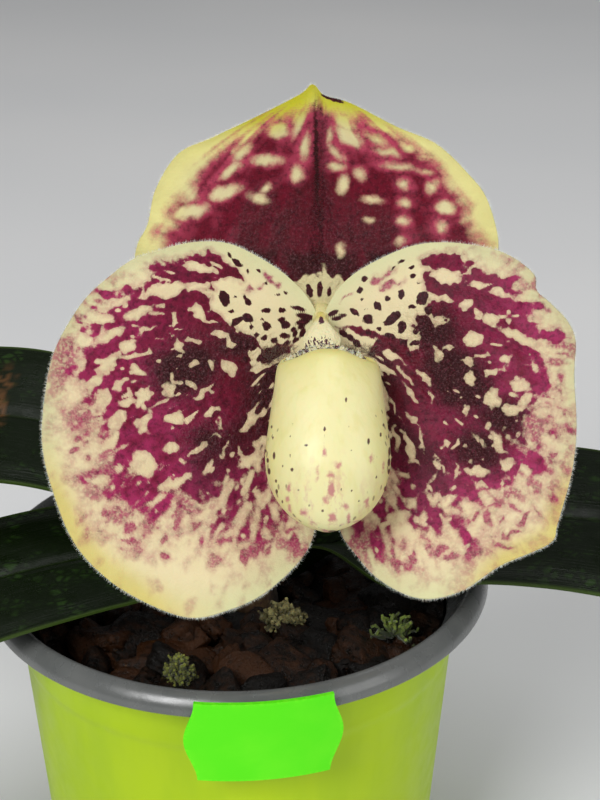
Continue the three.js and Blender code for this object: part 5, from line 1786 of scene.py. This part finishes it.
@dataclass
class Lip:
    """The pouch, with its mouth turned in and arched at the front, without the claw that holds it.

    Each ring, from the mouth down to the toe, has the height of its front and of its back, half its
    width, how far forward its back and its front stand, and how far its sides hang.
    """

    centre: float = 1.2
    wall: float = 0.9
    rings: tuple[tuple[float, ...], ...] = (
        (-5.6, -7.4, 4.9, 1.4, 8.9, 1.2), (-4.2, -6.6, 6, 1.1, 10.2, 1.7), (-3.8, -6.2, 7.1, 1.2, 11.7, 1.9),
        (-5, -6.8, 7.7, 1.9, 13.8, 1.5), (-9.2, -9.6, 8.05, 3.6, 17.1, 0.4), (-14.4, -14.4, 8.7, 5, 19.3, 0),
        (-19.2, -19.2, 9.2, 5.8, 20.6, 0), (-23.2, -23.2, 8.5, 6.6, 20.6, 0),
        (-26.4, -26.2, 6.6, 7.8, 19.8, 0), (-28.3, -28, 4.2, 9.6, 18.2, 0),
        (-29.3, -29, 1.7, 12.2, 15.8, 0), (-29.5, -29.3, 0.45, 14, 14, 0))
    arch: tuple[Flat, ...] = (
        (-6.3, -6.5), (-5.6, -5.5), (-4.4, -4.6), (-3.1, -3.8), (-1.4, -3.1), (0.3, -2.7), (2.3, -2.9),
        (4.3, -3.4), (5.9, -4.1), (7.1, -5.3))
    seed: int = 77

    def surface(self, down: Array, turn: Array) -> Array:
        """Gives the pouch's middle surface, from its mouth down to its toe."""
        rings = np.array(self.rings)
        padded = np.vstack([2 * rings[0] - rings[1], rings, rings[-1]])
        step = down * (len(rings) - 1)
        start = np.clip(np.floor(step).astype(int), 0, len(rings) - 2)
        ring = catmull(*(padded[start + k] for k in range(4)), (step - start)[:, None])
        front, back, half, near, far, hang = ring.T
        forward = 0.5 + 0.5 * np.sin(2 * math.pi * turn)
        side = np.cos(2 * math.pi * turn)
        x = self.centre + np.maximum(half - self.wall / 2, 0) * side
        sag = hang * smooth(np.abs(side), 0.1, 1.05) * smooth(forward, 0.1, 0.6)
        y = between(front, back, (1 - forward) ** 3) - sag
        return in_place(np.stack([x, y, between(near, far, forward)], 1))

    def collar(self, along: Array, up: Array) -> Array:
        """Gives the inside of the pouch's back, which shows in its mouth."""
        arch = np.array(self.arch)
        place_on = along * (len(arch) - 1)
        x, y = (np.interp(place_on, np.arange(len(arch)), side) for side in arch.T)
        rise = between(-3.4, 0, up)
        z = 5.4 + 3.6 * (1 - ((x - 0.4) / 7.2) ** 2)
        return in_place(np.stack([x, y + rise, z], 1))

    def fringe(self) -> None:
        """Grows the pale and the dark hairs that crowd round the mouth."""
        draw = np.random.default_rng(self.seed)
        for name, count, tint, long in (("mouth_hair_pale", 900, colour(252, 248, 240), 0.65),
                                        ("mouth_hair_dark", 300, colour(30, 6, 14), 0.8)):
            along, up = draw.uniform(0.03, 0.97, count), draw.uniform(0.55, 1, count)
            tuft = hairs(name, self.collar(along, up), FORWARD, draw, 0.55, (0.5 * long, long), 0.1)
            finished(tuft, "lip", HairCoat(name, tint).material())

    def build(self) -> None:
        """Builds the pouch and says where its skin is dotted, blushed and deeper."""
        skin = PouchSkin().material()
        piece, down, turn = sheet("lip_pouch_shell", 150, 200, self.surface)
        forward = 0.5 + 0.5 * np.sin(2 * math.pi * turn)
        side = np.abs(np.cos(2 * math.pi * turn))
        low = smooth(down, 0.46, 0.8)
        flank = smooth(side, 0.5, 0.88) * smooth(down, 0.3, 0.46)
        tag(piece, "speckle", np.clip(flank + 0.5 * low * smooth(side, 0.2, 0.6) + 0.36 * low, 0, 1))
        tag(piece, "blush", low * (0.25 + 0.75 * bell(side, 0.4) * smooth(forward, 0.5, 0.9)))
        tag(piece, "deep", np.clip(1.1 * smooth(down, 0.42, 0.1) + 0.35 * flank, 0, 1))
        x, y, _ = ((vertices(piece) / MM - FLOWER_AT) @ FLOWER_AXES).T
        for name, marks in (("dots", POUCH_DOTS), ("smears", POUCH_SMEARS)):
            marked = deepest([(*mark, 90) for mark in marks], x, y)
            tag(piece, name, np.where(forward > 0.45, np.maximum(marked, -1), -1))
        weld(piece, False)
        thicken(piece, self.wall)
        finished(rounded(piece, 75), "lip", skin, stands_for=["lip_pouch"])
        piece, _, up = sheet("lip_collar", 90, 24, self.collar)
        tag(piece, "gold", 0.0)
        x, _, z = vertices(piece).T / MM
        tag(piece, "ink", 0.5 * grain(x, z, 0.5, 5) * up - 0.1)
        thicken(piece, 0.3)
        finished(rounded(piece, 75), "lip", ColumnSkin().material())
        self.fringe()


@dataclass
class Column:
    """The column with its shield, the staminode, held over the mouth of the pouch."""

    def shield(self, down: Array, across: Array) -> Array:
        """Gives the shield's middle surface."""
        reach = 2 * across - 1
        half = between(0.55, 2.8, smooth(down, 0.12, 0.72)) * (1 - 0.25 * down**5)
        y = 1.6 - 4.8 * down**1.1 - 0.9 * reach**2 * down
        bulge = 0.7 * (1 - reach**2) * np.sin(math.pi * np.clip(down, 0, 1))
        lobes = 0.12 * np.sin(26 * across) * down**6
        z = 2.0 + 5.2 * down + 0.6 * bulge
        return in_place(np.stack([0.3 * down + reach * half, y + 0.5 * bulge + lobes, z], 1))

    def build(self) -> None:
        """Builds the shield, the hairs on it and the stalk behind it."""
        piece, down, across = sheet("column_shield", 90, 80, self.shield)
        reach = 2 * across - 1
        tag(piece, "gold", np.clip(0.7 * smooth(down, 0.42, 0.2) + 0.2 * bell(reach, 0.2) * (1 - down), 0, 1))
        crowd = 0.6 * grain(reach * 13, down * 12, 1, 61) + 0.4 * grain(reach * 24, down * 22, 1, 62)
        ink = 0.5 * crowd + 0.5 * smooth(down, 0.62, 1) - 0.4
        slot = 0.5 - np.hypot(reach / 0.21, (down - 0.34) / 0.13) * 0.5
        tag(piece, "ink", np.maximum(ink, slot))
        thicken(piece, 0.9, between(1, 0.5, smooth(np.abs(reach), 0.6, 1)))
        weld(piece, False)
        finish = ColumnSkin().material()
        finished(rounded(piece, 75), "lip", finish, stands_for=["column"])
        route = in_place(np.array([(0, 0.9, -6), (0, 0.9, -2.4), (0, 0.3, 3)]))
        stalk = Stem("column", "lip", route, lambda share: between(2.5, 0.8, smooth(share, 0.2, 0.55)))
        stem, _, _ = sheet("column_stalk", 60, 40, stalk.surface)
        tag(stem, "gold", 0.4)
        tag(stem, "ink", -1.0)
        finished(rounded(weld(stem), 70), "lip", finish)
        draw, hanging = np.random.default_rng(15), FLOWER_AXES @ np.array([0, -0.6, 0.7])
        for name, count, tint in (("shield_hair_pale", 500, colour(224, 216, 184)),
                                  ("shield_hair_dark", 260, colour(66, 26, 38))):
            roots = self.shield(draw.uniform(0.8, 1, count), draw.random(count))
            tuft = hairs(name, roots, hanging, draw, 0.4, (0.4, 0.9), 0.045)
            finished(tuft, "lip", HairCoat(name, tint).material())


def loose_petal(x: Array, y: Array) -> Array:
    """Gives where a petal's pattern breaks up: low down and outwards."""
    beside_lip = 0.6 * smooth(-y, 11, 24) * (1 - smooth(np.abs(x), 10, 20))
    outwards = 0.9 * smooth(np.abs(x), 28, 35) * smooth(-y, 6, 14)
    return np.clip(smooth(-y, 18, 30) + beside_lip + outwards, 0, 1)


def loose_sepal(x: Array, y: Array) -> Array:
    """Gives where the dorsal sepal's pattern breaks up: a little, near its sides."""
    return 0.35 * smooth(np.abs(x), 17, 25) + 0.2 * smooth(y, 20, 32)


def petal_tint(side: int, down: float, aside: float, rim: float) -> Tint:
    """Gives the tint of a petal: a green margin, golden where it is low and to its own side."""
    def tint(x: Array, y: Array, out: Array) -> tuple[Array, Array]:
        """Gives how green and how golden the skin is."""
        margin = smooth(out, 0.8, 1)
        low = smooth(-y, down, 30) * smooth(side * x, aside, 30)
        return margin * (1 - low) * 0.7, np.clip(low * (0.25 + margin), 0, 1) * smooth(out, rim, 1)
    return tint


def tint_dorsal(x: Array, y: Array, out: Array) -> tuple[Array, Array]:
    """Gives how green and how golden the dorsal sepal's skin is."""
    margin = smooth(out, 0.72, 0.95) * smooth(y, 4, 12)
    left_of_tip = 0.35 * smooth(y, 22, 32) * smooth(-x, -2, 2)
    return margin, margin * np.clip(smooth(y, 27, 34) + left_of_tip, 0, 1)


def plain_tint(x: Array, y: Array, out: Array) -> tuple[Array, Array]:
    """Gives an even greenish skin."""
    return np.full(x.shape, 0.5), np.zeros(x.shape)


@dataclass
class Flower:
    """The flower: two petals, two sepals, the lip and the column."""

    def blades(self) -> tuple[Blade, ...]:
        """Gives the petals and the sepals."""
        left = Pattern(VEIL_LEFT, ISLANDS_LEFT, SPOTS_LEFT, FAINT_LEFT, BROWNS_LEFT, loose_petal, 3)
        right = Pattern(VEIL_RIGHT, ISLANDS_RIGHT, SPOTS_RIGHT, FAINT_RIGHT, BROWNS_RIGHT, loose_petal, 13)
        dorsal = Pattern(VEIL_DORSAL, ISLANDS_DORSAL, SPOTS_DORSAL, (), BROWNS_DORSAL, loose_sepal, 23,
                         softness=0.5, petal=0)
        green_left, green_right = petal_tint(-1, 14, 12, 0.72), petal_tint(1, 16, 18, 0.76)
        return (
            Blade("petal_left", "petal", PETAL_LEFT, (-19, -14), petal_depth(0), left, green_left),
            Blade("petal_right", "petal", PETAL_RIGHT, (19, -13), petal_depth(2), right, green_right),
            Blade("dorsal_sepal", "sepal", DORSAL_SEPAL, (0, 17), sepal_depth, dorsal, tint_dorsal),
            Blade("synsepal", "petal", SYNSEPAL, (0, -13), synsepal_depth, None, plain_tint, 64, 800),
        )

    def build(self) -> None:
        """Builds the flower's pieces."""
        coat = HairCoat("margin_hair", colour(248, 246, 232)).material()
        printed = PrintedPetal("petal_front").material()
        back = PrintedPetal("petal_back", strength=0.38).material()
        sepal = PrintedPetal("sepal_front", cream=colour(220, 208, 160), green=colour(222, 214, 142),
                             gold=colour(186, 182, 40), wine=colour(104, 8, 33), pink=colour(180, 66, 92),
                             brown=colour(56, 14, 16)).material()
        blades = self.blades()
        for blade in blades:
            blade.build(sepal if blade.slot == "sepal" else printed, back, coat)
        self.short_hair(blades)
        Lip().build()
        Column().build()

    def short_hair(self, blades: Sequence[Blade]) -> None:
        """Grows the dark short hair on the sepal's midrib and about the petals' claws."""
        draw = np.random.default_rng(99)
        patches = (
            ("midrib_hair", blades[2], 1300, (-0.6, 21), (0.9, 12), 0.75),
            ("claw_hair_left", blades[0], 420, (-6.3, -4.9), (2.6, 1.5), 1.5),
            ("claw_hair_right", blades[1], 380, (6.2, -4.4), (2.4, 1.2), 1.5),
        )
        for name, blade, count, middle, spread, long in patches:
            flat = np.array(middle) + draw.uniform(-1, 1, (count, 2)) * spread
            x, y = flat.T
            stand = blade.depth(x, y, np.full(count, 0.5), np.zeros(count)) + blade.thickness / 2
            roots = in_place(np.stack([x, y, stand], 1))
            tint = colour(58, 26, 34) if blade.slot == "sepal" else colour(128, 112, 100)
            patch = hairs(name, roots, FORWARD, draw, 0.4, (0.4 * long, long), 0.03)
            finished(patch, blade.slot, HairCoat(name, tint).material())


# ---- the studio
@dataclass
class Studio:
    """A plain pale floor, soft light and the camera."""

    eye: Point = (0.0, -250.2366, 224.629)
    pitch: float = 24.57
    yaw: float = 2.57
    lens: float = 72.0

    def floor(self) -> None:
        """Lays the floor."""
        none_selected()
        bpy.ops.mesh.primitive_plane_add(size=8)
        piece = added("studio_floor")
        paint = Paint("studio_floor", 0.8, Specular_IOR_Level=0.2)
        cloud = paint.rise(paint.noise(300, 2), 0.3, 0.7)
        base = paint.blend(cloud, colour(226, 227, 228), colour(232, 232, 232))
        piece.data.materials.append(paint.done(base))

    def light(self, name: str, at: Point, size: float, power: float) -> None:
        """Hangs a soft square light that faces the flower, its place in metres."""
        bpy.ops.object.light_add(type="AREA", location=at)
        lamp = bpy.context.active_object
        lamp.name = lamp.data.name = name
        lamp.data.size, lamp.data.energy = size, power
        lamp.rotation_euler = (Vector(at) - Vector((0, 0, 0.11))).to_track_quat("Z", "Y").to_euler()

    def build(self) -> None:
        """Sets up the floor, the lights, the sky and the camera."""
        self.floor()
        self.light("key_light", (-0.55, -0.9, 0.9), 0.5, 11)
        self.light("fill_light", (0.85, -0.75, 0.55), 0.8, 3.6)
        self.light("top_light", (0.1, 0.15, 1.3), 0.7, 5)
        world = bpy.data.worlds.new("studio")
        world.use_nodes = True
        world.node_tree.nodes["Background"].inputs["Color"].default_value = (1, 1, 1, 1)
        world.node_tree.nodes["Background"].inputs["Strength"].default_value = 0.2
        bpy.context.scene.world = world
        bpy.context.scene.view_settings.view_transform = "Standard"
        bpy.ops.object.camera_add(location=[part * MM for part in self.eye],
                                  rotation=(math.radians(90 - self.pitch), 0, math.radians(-self.yaw)))
        camera = bpy.context.active_object
        camera.name = "camera"
        camera.data.lens, camera.data.sensor_fit, camera.data.sensor_height = self.lens, "VERTICAL", 36
        camera.data.clip_start = 0.01
        bpy.context.scene.camera = camera


def main() -> None:
    """Builds the pot, the bark, the plant and the studio."""
    logging.basicConfig(level=logging.INFO, format="%(message)s")
    pot = Pot()
    pot.lime_layer()
    pot.grey_layer()
    pot.label()
    bark = BarkFill(pot)
    bark.bed()
    bark.chips()
    tufts = (
        Tuft("moss_front", Growth.CLUMP, (-10, -30, 73.4), 5),
        Tuft("moss_right", Growth.STARRY, (27, -19, 74), 8),
        Tuft("moss_middle", Growth.LICHEN, (7.5, -14, 74.4), 21),
    )
    for tuft in tufts:
        tuft.build()
    leaves = (
        Leaf("leaf_left_lower", [(-2.8, 3.7, 72.5), (-14, -3, 82.5), (-36.6, -14.4, 85.3), (-70, -31, 81),
                                 (-100, -44, 66)], (0.42, -0.9, -0.1), 16, 31),
        Leaf("leaf_left_upper", [(-5, 10.4, 79), (-14, 13, 91), (-38.9, 14.6, 101), (-75, 17, 98.5),
                                 (-108, 19, 86)], (0.06, -0.97, -0.24), 19.5, 47, scar=0.41),
        Leaf("leaf_right", [(9.85, 3.4, 73), (21, 3.6, 80.5), (44, -1.5, 87.6), (78, -10.5, 87.5),
                            (114, -19, 75)], (-0.2, -0.96, -0.16), 20.3, 59),
        Leaf("leaf_right_back", [(6.4, 11, 81), (17, 24, 96), (37, 38, 100), (52, 52, 98.5),
                                 (62, 62, 92)], (0.7, -0.7, -0.14), 13.5, 71),
    )
    for leaf in leaves:
        leaf.build()
    stems = (
        Stem("rootstock", "rootstock", [(2, 6, 50), (2.5, 6, 67), (3, 6, 84)],
             lambda share: 3.4 + 2.2 * np.sin(math.pi * np.minimum(1, 0.25 + share)),
             skin=StemSkin("root_skin", colour(92, 66, 40), colour(128, 104, 66))),
        Stem("scape", "scape", [(3, 6, 84.4), (3.2, 6, 87), (6, 8.5, 95), (11, 10, 107), (13, 8.6, 113.6)],
             lambda share: between(2.7, 2.1, share), hair=1500, seed=2),
        Stem("ovary", "scape", [(13.3, 8.2, 114.2), (14.4, 3.6, 122), (14.2, -6, 128), (13.7, -16.6, 130.6)],
             lambda share: 2 + np.sin(math.pi * np.minimum(1, share * 1.05)) + 0.2 * share,
             ribs=0.07, hair=1500, seed=3),
    )
    for stem in stems:
        stem.build()
    Bract().build()
    Flower().build()
    Studio().build()
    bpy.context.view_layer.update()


if __name__ == "__main__":
    main()
